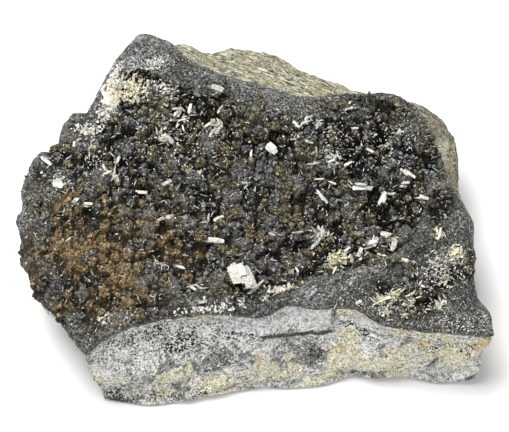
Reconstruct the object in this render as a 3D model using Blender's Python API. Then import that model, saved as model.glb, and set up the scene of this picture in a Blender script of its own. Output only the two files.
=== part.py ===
"""Hand specimen of vein ore: pale host rock, a dark galena layer over it, and a crystal crust in the layer's hollow.

The specimen lies on its back. +X runs along its length, +Y away from the pale broken front, +Z up.
Lengths in this file are millimetres, and every mesh is scaled to metres when it is made.
"""

import math

import bpy
import numpy as np
from mathutils.geometry import delaunay_2d_cdt

METRES = 0.001
GAP = 0.3
# Where the middle of the specimen's length and width lies in the stations' own figures.
MIDDLE = (-0.14, 0.235, 0.0)

# Grid counts: points along the front and the back, and along each short side.
ALONG = 44
ACROSS = 30

# Stations round the block: the galena layer's lower edge (x, y, z), the foot of the rock below it (x, y), and
# the place where the crystal crust stops against smooth galena (x, y). At the back and the right a shoulder
# (x, y, z) comes second, where the pale rock's top slope breaks down.
FRONT = [
    ((-31.9, -31.9, 15.2), (-28.8, -33.3), (-33.4, -25.4)),
    ((-28.1, -29.5, 17.6), (-24.6, -34.0), (-29.6, -26.4)),
    ((-20.1, -26.8, 19.0), (-19.5, -34.6), (-23.0, -24.2)),
    ((-10.6, -25.7, 19.5), (-10.6, -33.1), (-13.6, -22.6)),
    ((-4.0, -25.3, 19.0), (-3.0, -31.6), (-6.8, -22.4)),
    ((1.1, -26.0, 19.0), (1.3, -30.8), (-1.6, -22.4)),
    ((5.3, -23.6, 19.0), (5.6, -31.0), (2.6, -21.0)),
    ((12.2, -24.2, 19.0), (12.5, -30.4), (7.6, -20.0)),
    ((17.6, -23.9, 18.6), (17.8, -28.6), (12.2, -18.4)),
    ((20.3, -24.6, 18.3), (21.0, -28.8), (15.0, -18.6)),
    ((23.4, -26.8, 18.0), (24.0, -29.0), (17.4, -18.2)),
    ((28.3, -27.8, 17.5), (28.3, -28.7), (20.4, -17.2)),
    ((35.0, -28.1, 17.0), (35.0, -29.9), (23.8, -15.6)),
    ((44.1, -28.5, 16.0), (43.2, -28.6, 12.8), (41.0, -29.2), (27.4, -13.4)),
]
RIGHT = [
    ((44.1, -28.5, 16.0), (43.2, -28.6, 12.8), (41.0, -29.2), (27.4, -13.4)),
    ((42.7, -24.4, 16.5), (43.4, -24.2, 14.0), (41.8, -25.2), (28.4, -11.2)),
    ((40.6, -20.3, 17.0), (41.6, -19.6, 15.0), (39.8, -19.6), (29.4, -9.8)),
    ((40.4, -12.5, 17.0), (41.4, -12.0, 15.0), (39.2, -12.0), (30.8, -7.4)),
    ((40.2, -6.1, 17.5), (41.1, -5.4, 15.2), (38.4, -5.4), (32.2, -4.2)),
    ((38.5, -2.1, 18.0), (39.6, -0.6, 16.0), (37.0, -0.4), (32.8, -1.2)),
    ((36.0, 1.6, 19.5), (38.7, 4.2, 16.5), (36.2, 4.2), (32.6, 2.2)),
    ((34.4, 6.7, 20.0), (38.9, 9.6, 17.0), (35.6, 9.0), (31.8, 6.4)),
    ((32.8, 12.2, 20.5), (38.6, 14.6, 17.5), (34.2, 13.0), (30.6, 10.6)),
    ((29.6, 17.6, 21.0), (35.2, 19.0, 18.0), (31.5, 16.6), (28.6, 13.6)),
]
BACK = [
    ((-22.0, 32.0, 23.0), (-22.2, 34.0, 20.5), (-20.6, 29.6), (-24.3, 24.2)),
    ((-17.3, 30.6, 23.0), (-17.3, 34.6, 20.0), (-16.0, 30.2), (-20.4, 24.6)),
    ((-13.3, 27.0, 22.5), (-13.8, 35.0, 19.6), (-11.5, 29.8), (-16.4, 22.8)),
    ((-9.3, 24.8, 22.0), (-10.0, 32.9, 18.6), (-8.0, 29.4), (-12.2, 20.8)),
    ((-3.0, 22.5, 22.0), (-2.2, 35.0, 18.0), (-2.0, 30.6), (-6.0, 18.6)),
    ((3.0, 20.8, 21.5), (4.0, 33.4, 18.0), (3.6, 29.8), (0.0, 17.6)),
    ((8.4, 19.2, 21.5), (9.0, 30.4, 17.5), (8.8, 27.0), (5.4, 15.4)),
    ((14.1, 19.4, 21.5), (14.6, 27.6, 17.5), (14.0, 24.4), (11.0, 14.8)),
    ((20.1, 19.8, 21.5), (20.6, 24.8, 18.0), (19.8, 21.6), (16.8, 15.2)),
    ((25.8, 19.8, 21.5), (27.0, 22.8, 18.4), (25.6, 19.8), (23.0, 15.8)),
    ((29.6, 17.6, 21.0), (35.2, 19.0, 18.0), (31.5, 16.6), (28.6, 13.6)),
]
LEFT = [
    ((-31.9, -31.9, 15.2), (-28.8, -33.3), (-33.4, -25.4)),
    ((-36.1, -25.5, 15.3), (-30.6, -26.6), (-35.4, -23.6)),
    ((-40.3, -20.4, 15.2), (-34.4, -20.2), (-37.0, -19.6)),
    ((-42.7, -14.6, 15.1), (-37.2, -13.6), (-38.6, -14.4)),
    ((-43.9, -8.2, 15.2), (-39.0, -7.6), (-39.2, -8.6)),
    ((-44.2, -4.2, 15.2), (-39.8, -3.6), (-38.8, -4.4)),
    ((-43.5, -1.0, 15.4), (-40.0, 0.2), (-37.4, -1.6)),
    ((-43.8, 2.7, 15.8), (-39.4, 4.4), (-36.6, 1.6)),
    ((-41.9, 6.9, 16.6), (-37.4, 8.8), (-35.8, 5.6)),
    ((-37.8, 9.4, 17.2), (-34.6, 12.4), (-34.0, 8.8)),
    ((-36.6, 12.8, 17.6), (-32.2, 15.6), (-31.8, 11.0)),
    ((-35.0, 14.7, 18.2), (-30.4, 18.2), (-30.4, 13.0)),
    ((-31.9, 16.3, 18.8), (-28.4, 20.4), (-29.4, 15.2)),
    ((-30.0, 20.2, 19.4), (-26.8, 22.4), (-28.2, 17.2)),
    ((-28.3, 23.7, 20.4), (-25.2, 24.8), (-27.2, 19.2)),
    ((-26.2, 26.9, 21.6), (-23.4, 27.2), (-26.4, 21.2)),
    ((-23.8, 29.7, 22.6), (-22.0, 28.8), (-25.4, 23.0)),
    ((-22.0, 32.0, 23.0), (-20.6, 29.6), (-24.3, 24.2)),
]
# Height of the specimen's top at the four corners of a level rectangle, from which the top is spread.
TOP_X = (-35.0, 40.0)
TOP_Y = (-30.0, 28.0)
TOP_FRONT_LEFT, TOP_FRONT_RIGHT, TOP_BACK_LEFT, TOP_BACK_RIGHT = 22.6, 19.8, 26.0, 23.4

# Swells and hollows of the top: x, y, half-length, half-width, heading in degrees, height.
TOP_FORMS = [
    ("peak knob", -22.0, 28.5, 7.0, 5.0, 0, 1.9),
    ("left droop", -45.0, -5.0, 9.0, 18.0, 0, -4.4),
    ("left front droop", -36.0, -30.0, 10.0, 9.0, 0, -3.4),
    ("back swell", -1.0, 18.6, 20.0, 3.6, -17, 1.2),
    ("back right swell", 18.0, 17.0, 9.0, 3.0, 6, 0.9),
    ("main hollow", -1.0, 0.0, 27.0, 13.0, -4, -2.6),
    ("deep pocket", 27.0, -2.0, 6.5, 5.0, 20, -1.9),
    ("upper pocket", 10.0, 6.0, 7.0, 4.0, 0, -0.9),
    ("brown basin", -27.0, -13.0, 10.0, 9.0, 0, -1.5),
    ("front crevice", -17.0, -20.6, 9.5, 1.8, 8, -1.7),
    ("galena ridge", 16.6, -20.4, 12.5, 3.0, 24, 2.6),
    ("right lobe", 36.0, -9.0, 5.5, 7.0, 0, 1.7),
    ("right upper lobe", 38.6, -3.0, 3.4, 3.0, 0, 1.1),
    ("front right basin", 29.0, -23.4, 6.5, 3.2, 0, -2.3),
    ("left upper lobe", -35.2, 14.6, 2.9, 2.8, 0, 1.9),
    ("left lobe", -41.4, 3.4, 3.6, 3.8, 0, 2.0),
    ("left low lobe", -42.4, -12.0, 2.6, 3.6, 0, 1.0),
    ("grey lump", -30.4, 2.6, 3.4, 3.6, 0, 1.5),
    ("upper grey lump", -25.4, 11.4, 3.6, 3.0, 0, 1.3),
    ("middle lump", -3.0, 8.0, 3.4, 3.0, 0, 0.8),
    ("lower lump", -4.0, -17.0, 4.4, 3.0, 0, 0.9),
]

# The galena layer's rounded edge: its widest line stands out from its lower edge, this high over it, and
# from there the top rises in a quarter ellipse over this width. Then the rings of its bare margin.
EDGE_BULGE = 0.9
EDGE_RISE = 1.3
RIM_WIDTH = 2.6
NEAR_RINGS = ((0.12, 0.1), (0.42, 0.3), (1.0, 0.6))
FAR_RINGS = 2
# Hidden faces between the layers: lattice spacing, and the least thickness of galena over the rock.
HIDDEN_SPACING = 6.0
LAYER_THICKNESS = 4.8

# Crust: depth of its bed under the top, its clearance at the sides, its height over the top, and its lumps.
CRUST_BED = 2.3
CRUST_SIDE_GAP = 0.32
CRUST_RISE = 0.5
LUMP_SPACING = 4.4
LUMP_HEIGHT = 2.2
LUMP_SEED = 11
CRYSTAL_TIPS = 0.42

# Rock walls: rings between shoulder and foot, their outward swell, and the broken surface's unevenness.
WALL_STEPS = 4
WALL_SWELL = 0.7
CHIP_SIZES = ((11.0, 1.1), (5.0, 0.55))
CHIP_SEED = 5
TOP_ROUGH_SIZES = ((7.0, 0.35),)
TOP_ROUGH_SEED = 8
CHIP_CORNERS = 0.35
MARGIN_GRAINS = 0.16
# Swells and grooves of the front wall: x, height, half-length, half-height, heading in degrees, outwards.
WALL_FORMS = [
    ("lens", 8.4, 16.0, 6.8, 2.8, -3, 1.6),
    ("groove under the lens", 8.0, 12.7, 7.6, 1.2, -3, -0.9),
    ("left ledge", -19.0, 8.5, 9.0, 3.4, 6, 0.9),
    ("hollow at the left corner", -26.5, 3.5, 4.0, 3.6, 30, -1.3),
    ("right hollow", 30.5, 10.0, 7.0, 3.6, -12, -0.9),
    ("buff swell", 22.0, 5.0, 7.0, 3.2, 10, 0.8),
    ("left corner recess", -34.0, 8.0, 4.5, 5.0, 0, -1.5),
    ("right corner recess", 44.0, 8.6, 3.0, 3.4, 0, -2.2),
]
# Underside: the flat face it rests on is the foot's outline drawn in, and the foot's own height over it.
FLAT_SHARE = 0.8
FOOT_LIFT = 2.0
FRONT_FOOT_LIFT = 0.35

# Larger flat crystals on the crust: x, y, length, width, thickness, heading, tilt in degrees.
TABLETS = [
    (-4.5, -18.8, 3.6, 2.3, 0.8, 107, 20), (-2.2, -19.0, 3.4, 2.3, 0.7, 105, 16),
    (0.0, -20.2, 2.6, 0.8, 0.6, 44, 18), (2.9, 8.3, 2.4, 2.0, 0.7, -40, 18),
    (11.6, 8.1, 2.7, 0.7, 0.6, 87, 16), (10.8, 6.2, 2.5, 0.7, 0.6, 3, 12),
    (14.5, 5.6, 2.3, 0.8, 0.6, 12, 14), (17.2, 6.0, 2.7, 0.7, 0.6, 25, 16),
    (21.7, 7.2, 1.7, 0.8, 0.6, -39, 18), (29.1, 2.9, 2.9, 0.8, 0.7, -44, 20),
    (28.5, 0.8, 1.5, 0.9, 0.6, 0, 14), (30.8, -0.5, 2.4, 0.9, 0.7, -21, 14),
    (20.2, 0.5, 3.8, 1.4, 0.8, -9, 12), (12.6, -2.4, 3.6, 0.8, 0.7, -56, 14),
    (24.0, -1.8, 2.9, 1.4, 0.7, 65, 18), (25.9, 0.6, 1.7, 0.8, 0.6, -12, 12),
    (7.7, -9.6, 2.1, 0.6, 0.5, 7, 10), (-31.8, -4.1, 1.7, 0.9, 0.6, -12, 18),
    (-18.6, -7.0, 1.7, 0.8, 0.6, 17, 14), (-16.2, -6.7, 1.5, 0.9, 0.6, 6, 14),
    (-7.2, -6.2, 2.1, 1.1, 0.6, 28, 16), (-7.6, -11.6, 3.2, 1.5, 0.8, -14, 14),
    (-14.4, -17.6, 1.7, 0.7, 0.6, -21, 18), (-11.7, -20.4, 2.3, 0.7, 0.6, -46, 18),
    (-8.4, 16.2, 2.1, 1.8, 0.7, -34, 20), (-8.4, 10.6, 1.9, 1.1, 0.7, 63, 20),
    (-9.1, 13.2, 2.3, 1.8, 0.8, 34, 18), (-16.5, 9.7, 2.7, 1.7, 0.8, -59, 18),
    (-21.6, -0.8, 2.1, 0.8, 0.6, -17, 14), (-16.9, 0.2, 1.9, 1.3, 0.6, 23, 16),
    (-27.3, 1.2, 2.5, 1.7, 0.7, 23, 16), (-15.4, 14.6, 3.0, 0.8, 0.7, 65, 20),
    (21.3, -12.0, 2.9, 1.3, 0.7, 17, 20), (25.6, -10.2, 2.1, 1.3, 0.7, 63, 20),
    (12.3, -10.2, 2.9, 0.8, 0.7, 68, 22), (7.5, -16.6, 2.3, 0.7, 0.6, -65, 18),
]
TABLET_SUNK = 0.35
TABLET_ROOT = 0.95

COLOURS = {
    "host_rock": ((0.42, 0.41, 0.36), 0.85, 0.0),
    "galena_layer": ((0.09, 0.09, 0.085), 0.45, 0.4),
    "crystal_crust": ((0.07, 0.06, 0.045), 0.6, 0.1),
}


def curve_through(stations, count):
    """count points, evenly spaced in plan, on the smooth curve that passes through the stations in turn.

    Each stretch is a Catmull-Rom cubic: its ends are two stations, and its slope at each is half the step
    between that station's neighbours."""
    knots = np.array(stations, float)
    before = np.vstack([2 * knots[0] - knots[1], knots[:-1]])
    after = np.vstack([knots[1:], 2 * knots[-1] - knots[-2]])
    slope = (after - before) / 2
    t = np.linspace(0, 1, 24, endpoint=False)[None, :, None]
    start, end = knots[:-1, None], knots[1:, None]
    leave, arrive = slope[:-1, None], slope[1:, None]
    fine = (
        start * (2 * t**3 - 3 * t**2 + 1) + leave * (t**3 - 2 * t**2 + t)
        + end * (3 * t**2 - 2 * t**3) + arrive * (t**3 - t**2)
    )
    fine = np.vstack([fine.reshape(-1, knots.shape[1]), knots[-1:]])
    run = np.concatenate([[0], np.cumsum(np.hypot(*np.diff(fine[:, :2], axis=0).T))])
    wanted = np.linspace(0, run[-1], count)
    return np.column_stack([np.interp(wanted, run, column) for column in fine.T])


def full_rows(stations):
    """Each station as one row of ten numbers: edge x y z, shoulder x y z, foot x y, and crust x y.

    A station with no shoulder gets one just under its edge, a little of the way down to the foot."""
    lean, drop = 0.05, 2.2
    rows = []
    for edge, *shoulder, foot, crust in stations:
        if not shoulder:
            towards = [e + (f - e) * lean for e, f in zip(edge, foot)]
            shoulder = [(*towards, edge[2] - drop)]
        rows.append((*edge, *shoulder[0], *foot, *crust))
    return rows


def round_the_block(front, right, back, left):
    """The four sides as one closed loop: along the front, up the right, back along the rear, down the left."""
    return np.vstack([front[:-1], right[:-1], back[::-1][:-1], left[::-1][:-1]])


def patch(front, right, back, left):
    """A Coons patch: the two ruled surfaces between opposite sides, less the one their corners span."""
    u = np.linspace(0, 1, len(front))[:, None, None]
    v = np.linspace(0, 1, len(left))[None, :, None]
    ruled = (1 - v) * front[:, None] + v * back[:, None] + (1 - u) * left[None] + u * right[None]
    corners = (
        (1 - u) * (1 - v) * front[0] + u * (1 - v) * front[-1]
        + (1 - u) * v * back[0] + u * v * back[-1]
    )
    return ruled - corners


def swelling(points, cell, seed):
    """Smooth noise from -1 to 1: random values on a cubic lattice with this spacing, eased between its corners."""
    table = np.random.RandomState(seed).uniform(-1, 1, 4096)
    place = np.asarray(points, float) / cell
    corner = np.floor(place).astype(np.int64)
    share = place - corner
    share = share * share * (3 - 2 * share)
    total = np.zeros(place.shape[:-1])
    for step in np.ndindex(2, 2, 2):
        i = corner + np.array(step)
        key = (i[..., 0] * 73856093) ^ (i[..., 1] * 19349663) ^ (i[..., 2] * 83492791)
        weight = np.prod(np.where(step, share, 1 - share), axis=-1)
        total += weight * table[key & 4095]
    return total


def roughness(points, sizes, seed):
    return sum(height * swelling(points, cell, seed + n) for n, (cell, height) in enumerate(sizes))


def swell_of(x, y, form):
    """One swell: a flat-topped bell over an ellipse that is turned to its heading."""
    _, cx, cy, half_length, half_width, heading, height = form
    turn = math.radians(heading)
    along = ((x - cx) * math.cos(turn) + (y - cy) * math.sin(turn)) / half_length
    aside = ((y - cy) * math.cos(turn) - (x - cx) * math.sin(turn)) / half_width
    return height * np.exp(-((along**2 + aside**2) ** 1.25))


def top_height(x, y):
    """Height of the specimen's top: a sheet spread over four corner heights, with the named swells added."""
    u = (x - TOP_X[0]) / (TOP_X[1] - TOP_X[0])
    v = (y - TOP_Y[0]) / (TOP_Y[1] - TOP_Y[0])
    sheet = (
        (1 - u) * (1 - v) * TOP_FRONT_LEFT + u * (1 - v) * TOP_FRONT_RIGHT
        + (1 - u) * v * TOP_BACK_LEFT + u * v * TOP_BACK_RIGHT
    )
    level = np.stack([x, y, np.zeros_like(x)], axis=-1)
    rough = roughness(level, TOP_ROUGH_SIZES, TOP_ROUGH_SEED)
    return sheet + rough + sum(swell_of(x, y, form) for form in TOP_FORMS)


def nearest_on(loop, points):
    """Distance in plan from each point to a closed loop, and the loop's height at the nearest place on it."""
    start, end = loop, np.roll(loop, -1, axis=0)
    run = end - start
    flat_run = run[:, :2]
    reach = points[:, None, :2] - start[None, :, :2]
    share = np.clip((reach * flat_run).sum(-1) / (flat_run**2).sum(-1), 0, 1)
    away = np.linalg.norm(reach - share[..., None] * flat_run, axis=-1)
    best = away.argmin(axis=1)
    rows = np.arange(len(points))
    return away[rows, best], start[best, 2] + share[rows, best] * run[best, 2]


def rimmed_height(plan, widest):
    """The top's height, brought down to the layer's widest line in a quarter ellipse near that line."""
    away, low = nearest_on(widest, plan)
    share = 1 - np.clip(away / RIM_WIDTH, 0, 1)
    return low + (top_height(plan[:, 0], plan[:, 1]) - low) * np.sqrt(1 - share**2)


def outward(loop):
    """Unit vectors in plan, square to a loop that runs counter-clockwise, pointing away from it."""
    along = np.roll(loop[:, :2], -2, axis=0) - np.roll(loop[:, :2], 2, axis=0)
    away = np.column_stack([along[:, 1], -along[:, 0]])
    return away / np.linalg.norm(away, axis=1, keepdims=True)


def eased(loop, times):
    """The loop with each point drawn towards its neighbours' mean, so that it can be moved sideways cleanly."""
    for _ in range(times):
        loop = loop / 2 + (np.roll(loop, 1, axis=0) + np.roll(loop, -1, axis=0)) / 4
    return loop


def drawn_in(plan, distance):
    return plan - outward(eased(plan, 2)) * distance


def with_height(plan, height):
    return np.column_stack([plan, np.broadcast_to(height, len(plan))])


def filled(plan):
    """Triangles that fill a loop in plan, over lattice points inside it: all the points, and the corners."""
    low, high = plan.min(axis=0), plan.max(axis=0)
    grid = np.mgrid[low[0]:high[0]:HIDDEN_SPACING, low[1]:high[1]:HIDDEN_SPACING].reshape(2, -1).T
    ahead = np.roll(plan, -1, axis=0)
    rises = (plan[:, 1] > grid[:, None, 1]) != (ahead[:, 1] > grid[:, None, 1])
    slope = (ahead[:, 0] - plan[:, 0]) / np.where(ahead[:, 1] == plan[:, 1], 1e-9, ahead[:, 1] - plan[:, 1])
    crossing = plan[:, 0] + (grid[:, None, 1] - plan[:, 1]) * slope
    inside = (rises & (grid[:, None, 0] < crossing)).sum(axis=1) % 2 == 1
    away, _ = nearest_on(with_height(plan, 0.0), grid)
    inner = grid[inside & (away > HIDDEN_SPACING * 0.5)]
    points = np.vstack([plan, inner])
    count = len(plan)
    edges = [(i, (i + 1) % count) for i in range(count)]
    corners = delaunay_2d_cdt([tuple(point) for point in points.tolist()], edges, [], 1, 1e-6)[2]
    return points, np.array(corners)


def placed(points):
    """The points in metres, with the specimen's middle on the origin."""
    return ((points - MIDDLE) * METRES).tolist()


class Shell:
    """Gathers the vertices and faces of one closed solid out of loops, a sheet and end caps."""

    def __init__(self):
        self.points = []
        self.faces = []
        self.size = 0

    def add(self, points):
        first = self.size
        self.points.append(points)
        self.size += len(points)
        return np.arange(first, self.size)

    def rings(self, ring, loops):
        """Triangles from a loop that is already in the shell through each of these in turn.

        The loops run counter-clockwise, and the faces look outwards or up."""
        for loop in loops:
            nxt = self.add(loop)
            a, b, c, d = ring, np.roll(ring, -1), np.roll(nxt, -1), nxt
            self.faces += np.vstack([np.column_stack([a, b, c]), np.column_stack([a, c, d])]).tolist()
            ring = nxt
        return ring

    def cap(self, ring, corners, inner, under=False):
        """Closes a loop with the triangles of a filled plan, whose first points are the loop's own."""
        index = np.concatenate([ring, self.add(inner)])
        faces = index[corners]
        self.faces += (faces[:, ::-1] if under else faces).tolist()

    def sheet(self, ring, grid):
        """Closes a loop with a grid whose border is that loop, point for point."""
        across, up = grid.shape[:2]
        index = np.full((across, up), -1)
        index[1:-1, 1:-1] = self.add(grid[1:-1, 1:-1].reshape(-1, 3)).reshape(across - 2, up - 2)
        border = round_the_block(*[np.array(side) for side in border_cells(across, up)])
        index[border[:, 0], border[:, 1]] = ring
        a, b, c, d = index[:-1, :-1], index[1:, :-1], index[1:, 1:], index[:-1, 1:]
        self.faces += np.stack([a, b, c, d], axis=-1).reshape(-1, 4).tolist()

    def object(self, name):
        mesh = bpy.data.meshes.new(name)
        mesh.from_pydata(placed(np.vstack(self.points)), [], self.faces)
        mesh.update()
        made = bpy.data.objects.new(name, mesh)
        bpy.context.scene.collection.objects.link(made)
        return made


def border_cells(across, up):
    """Grid indices of a sheet's front, right, back and left border."""
    last_x, last_y = across - 1, up - 1
    front = [(i, 0) for i in range(across)]
    right = [(last_x, j) for j in range(up)]
    back = [(i, last_y) for i in range(across)]
    left = [(0, j) for j in range(up)]
    return front, right, back, left


def station_sides():
    """The four sides' smooth rows of ten numbers, as full_rows gives them."""
    sides = (FRONT, ALONG), (RIGHT, ACROSS), (BACK, ALONG), (LEFT, ACROSS)
    return [curve_through(full_rows(stations), count) for stations, count in sides]


def meeting_height(plan, edge):
    """Height of the hidden face between rock and galena: the edge's own height, spread inwards from it and
    kept well under the top."""
    away = np.linalg.norm(plan[:, None] - edge[None, :, :2], axis=-1)
    weight = 1 / (away + 0.5) ** 3
    spread = (weight * edge[:, 2]).sum(axis=1) / weight.sum(axis=1)
    return np.minimum(spread, top_height(plan[:, 0], plan[:, 1]) - LAYER_THICKNESS)


def meeting_face(edge):
    points, corners = filled(edge[:, :2])
    inner = points[len(edge):]
    return corners, with_height(inner, meeting_height(inner, edge))


def wall_relief(points):
    """How far the broken wall stands out at each point: its unevenness, and the front wall's named forms."""
    in_front = np.clip((-points[:, 1] - 17) / 3, 0, 1)
    forms = sum(swell_of(points[:, 0], points[:, 2], form) for form in WALL_FORMS)
    return roughness(points, CHIP_SIZES, CHIP_SEED) + in_front * forms


def chipped(ring, amount, corners):
    """A wall ring moved outwards and inwards by the wall's relief, and by each broken corner's own amount."""
    moved = ring.copy()
    own = corners.uniform(-CHIP_CORNERS, CHIP_CORNERS, len(ring))
    moved[:, :2] += outward(eased(ring, 4)) * (amount * wall_relief(ring) + own)[:, None]
    return moved


def foot_ring(foot):
    """The foot nearly touches the ground along the front, and stands clear of it at the sides and back."""
    depth = (foot[:, 1] - foot[:, 1].min()) / np.ptp(foot[:, 1])
    lift = FRONT_FOOT_LIFT + (FOOT_LIFT - FRONT_FOOT_LIFT) * np.clip(2.2 * depth, 0, 1)
    uneven = 0.5 * swelling(with_height(foot, 0.0), 9.0, CHIP_SEED) * np.clip(3 * depth, 0, 1)
    return with_height(foot, lift + uneven)


def host_rock(edge, shoulder, foot):
    """The pale rock: its underside, its broken walls, and the hidden face that the galena grew on."""
    shell = Shell()
    ground = foot_ring(foot)
    middle = foot.mean(axis=0)
    resting = with_height(middle + (foot - middle) * FLAT_SHARE, 0.0)
    lowest = shell.add(resting)
    shell.faces.append(lowest[::-1].tolist())
    walls = [ground]
    corners = np.random.RandomState(CHIP_SEED)
    for step in range(1, WALL_STEPS):
        share = step / WALL_STEPS
        ring = ground + (shoulder - ground) * share
        ring[:, :2] += outward(eased(ring, 4)) * WALL_SWELL * math.sin(math.pi * share)
        walls.append(chipped(ring, math.sin(math.pi * share) ** 0.5, corners))
    walls += [shoulder, (shoulder + edge) / 2, edge]
    shell.cap(shell.rings(lowest, walls), *meeting_face(edge))
    return shell.object("host_rock")


def widest_line(edge):
    """The galena layer's widest line, just over and outside its lower edge."""
    plan = edge[:, :2] + outward(eased(edge, 2)) * EDGE_BULGE
    return with_height(plan, edge[:, 2] + GAP + EDGE_RISE)


def margin_rings(widest, crust_loop):
    """Rings from the layer's widest line to the crust's outline, close together over the rounded edge."""
    run = crust_loop - widest[:, :2]
    length = np.linalg.norm(run, axis=1)
    shares = [np.minimum(RIM_WIDTH * near / length, far) for near, far in NEAR_RINGS]
    last = shares[-1]
    shares += [last + (1 - last) * step / (FAR_RINGS + 1) for step in range(1, FAR_RINGS + 2)]
    grains = np.random.RandomState(TOP_ROUGH_SEED)
    rings = []
    for n, share in enumerate(shares):
        plan = widest[:, :2] + run * share[:, None]
        rings.append(with_height(plan, rimmed_height(plan, widest)))
        if 0 < n < len(shares) - 1:
            rings[-1][:, 2] += grains.uniform(-MARGIN_GRAINS, MARGIN_GRAINS, len(plan))
    return rings


def crust_bed(crust_loop, widest):
    """The recess that the crust lies in: the foot of its step, and its filled floor."""
    foot = drawn_in(crust_loop, 0.1)
    foot = with_height(foot, rimmed_height(crust_loop, widest) - CRUST_BED)
    points, corners = filled(foot[:, :2])
    inner = points[len(foot):]
    return foot, corners, with_height(inner, top_height(inner[:, 0], inner[:, 1]) - CRUST_BED)


def galena_layer(edge, crust_loop):
    """The dark layer: a plate with a rounded edge and a recess where the crust is bedded."""
    shell = Shell()
    widest = widest_line(edge)
    under = shell.add(edge + (0, 0, GAP))
    foot, corners, floor = crust_bed(crust_loop, widest)
    shell.cap(shell.rings(under, [widest, *margin_rings(widest, crust_loop), foot]), corners, floor)
    corners, inner = meeting_face(edge)
    shell.cap(under, corners, inner + (0, 0, GAP), under=True)
    return shell.object("galena_layer")


def lumps(plan, spacing, seed):
    """Height from 0 to 1 of packed crystal lumps: 1 at each lump's own point, falling to the seams between.

    Each square cell of the plan holds one random point, and the nearest of the nine around counts."""
    table = np.random.RandomState(seed).uniform(0.12, 0.88, (4096, 2))
    place = plan / spacing
    cell = np.floor(place).astype(np.int64)
    nearest = np.full(place.shape[:-1], 9.0)
    for step in np.ndindex(3, 3):
        i = cell + np.array(step) - 1
        key = ((i[..., 0] * 73856093) ^ (i[..., 1] * 19349663)) & 4095
        nearest = np.minimum(nearest, np.linalg.norm(i + table[key] - place, axis=-1))
    return np.clip(1 - nearest, 0, 1)


def crust_height(plan):
    """The crust's top: the specimen's top, raised by packed lumps."""
    raised = CRUST_RISE + LUMP_HEIGHT * (lumps(plan, LUMP_SPACING, LUMP_SEED) - 0.35)
    return top_height(plan[..., 0], plan[..., 1]) + raised


def crystal_crust(crust_loop, sides, widest):
    """The crust of grown-together crystals, closed below by the face that lies in its bed.

    Every grid point of its top is a crystal's tip or the foot between two, at a random height of its own."""
    shell = Shell()
    foot, corners, floor = crust_bed(crust_loop, widest)
    low = with_height(drawn_in(crust_loop, CRUST_SIDE_GAP + 0.1), foot[:, 2] + GAP)
    high = with_height(drawn_in(crust_loop, CRUST_SIDE_GAP), foot[:, 2] + CRUST_BED + 0.3)
    low = shell.add(low)
    shell.cap(low, corners, floor + (0, 0, GAP), under=True)
    grid = patch(*sides)
    tips = np.random.RandomState(LUMP_SEED).uniform(-CRYSTAL_TIPS, CRYSTAL_TIPS, grid.shape[:2])
    shell.sheet(shell.rings(low, [high]), np.dstack([grid, crust_height(grid) + tips]))
    return shell.object("crystal_crust")


def tablet(x, y, length, width, thickness, heading, tilt):
    """A six-sided flat crystal: a long hexagon, tilted, whose sides run down to its root in the crust."""
    half, side, point = length / 2, width / 2, min(width, length) * 0.3
    outline = np.array([
        (half, 0), (half - point, side), (point - half, side),
        (-half, 0), (point - half, -side), (half - point, -side),
    ])
    rise = math.tan(math.radians(tilt))
    turn = math.radians(heading)
    along, aside = np.array([math.cos(turn), math.sin(turn)]), np.array([-math.sin(turn), math.cos(turn)])
    plan = np.array([x, y]) + outline[:, :1] * math.cos(math.radians(tilt)) * along + outline[:, 1:] * aside
    ground = float(crust_height(np.array([x, y])))
    upper = with_height(plan, ground + thickness + half * rise * 0.7 - TABLET_SUNK + outline[:, 0] * rise)
    lower = with_height(plan, top_height(plan[:, 0], plan[:, 1]) - TABLET_ROOT)
    count = len(outline)
    faces = [tuple(reversed(range(count))), tuple(range(count, 2 * count))]
    faces += [(i, (i + 1) % count, count + (i + 1) % count, count + i) for i in range(count)]
    mesh = bpy.data.meshes.new("tablet")
    mesh.from_pydata(placed(np.vstack([lower, upper])), [], faces)
    return bpy.data.objects.new("tablet", mesh)


def grow_tablets(crust):
    """Joins the flat crystals to the crust with one Boolean union, and keeps them out of the render."""
    helpers = bpy.data.collections.new("tablets")
    bpy.context.scene.collection.children.link(helpers)
    helpers.hide_render = True
    for numbers in TABLETS:
        made = tablet(*numbers)
        made.hide_render = True
        made.display_type = "WIRE"
        helpers.objects.link(made)
    join = crust.modifiers.new("tablets", "BOOLEAN")
    join.operation = "UNION"
    join.operand_type = "COLLECTION"
    join.collection = helpers
    join.solver = "EXACT"


def painted(thing):
    colour, rough, metal = COLOURS[thing.name]
    material = bpy.data.materials.new(thing.name)
    material.use_nodes = True
    shader = material.node_tree.nodes["Principled BSDF"]
    shader.inputs["Base Color"].default_value = (*colour, 1)
    shader.inputs["Roughness"].default_value = rough
    shader.inputs["Metallic"].default_value = metal
    thing.data.materials.append(material)


def main():
    for old in list(bpy.data.objects):
        bpy.data.objects.remove(old)
    sides = station_sides()
    loop = round_the_block(*sides)
    edge, shoulder, foot, crust_loop = loop[:, :3], loop[:, 3:6], loop[:, 6:8], loop[:, 8:]
    rock = host_rock(edge, shoulder, foot)
    galena = galena_layer(edge, crust_loop)
    crust = crystal_crust(crust_loop, [side[:, 8:] for side in sides], widest_line(edge))
    grow_tablets(crust)
    for thing in (rock, galena, crust):
        painted(thing)


main()
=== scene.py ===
# %% [markdown]
# # A hand specimen of vein ore
#
# The object is an angular piece broken out of a mineral vein. Three things lie over each other in it: pale
# host rock, a dark lead-grey layer of galena, and in the layer's hollow a rough crust of small crystals, some
# near black, some rusty, with white splinters and curls of native silver between them.
#
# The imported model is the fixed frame. It gives the true size and place of the three layers, and each surface
# here is a finer skin over one of them.

# %% The fixed frame
import math

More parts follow.
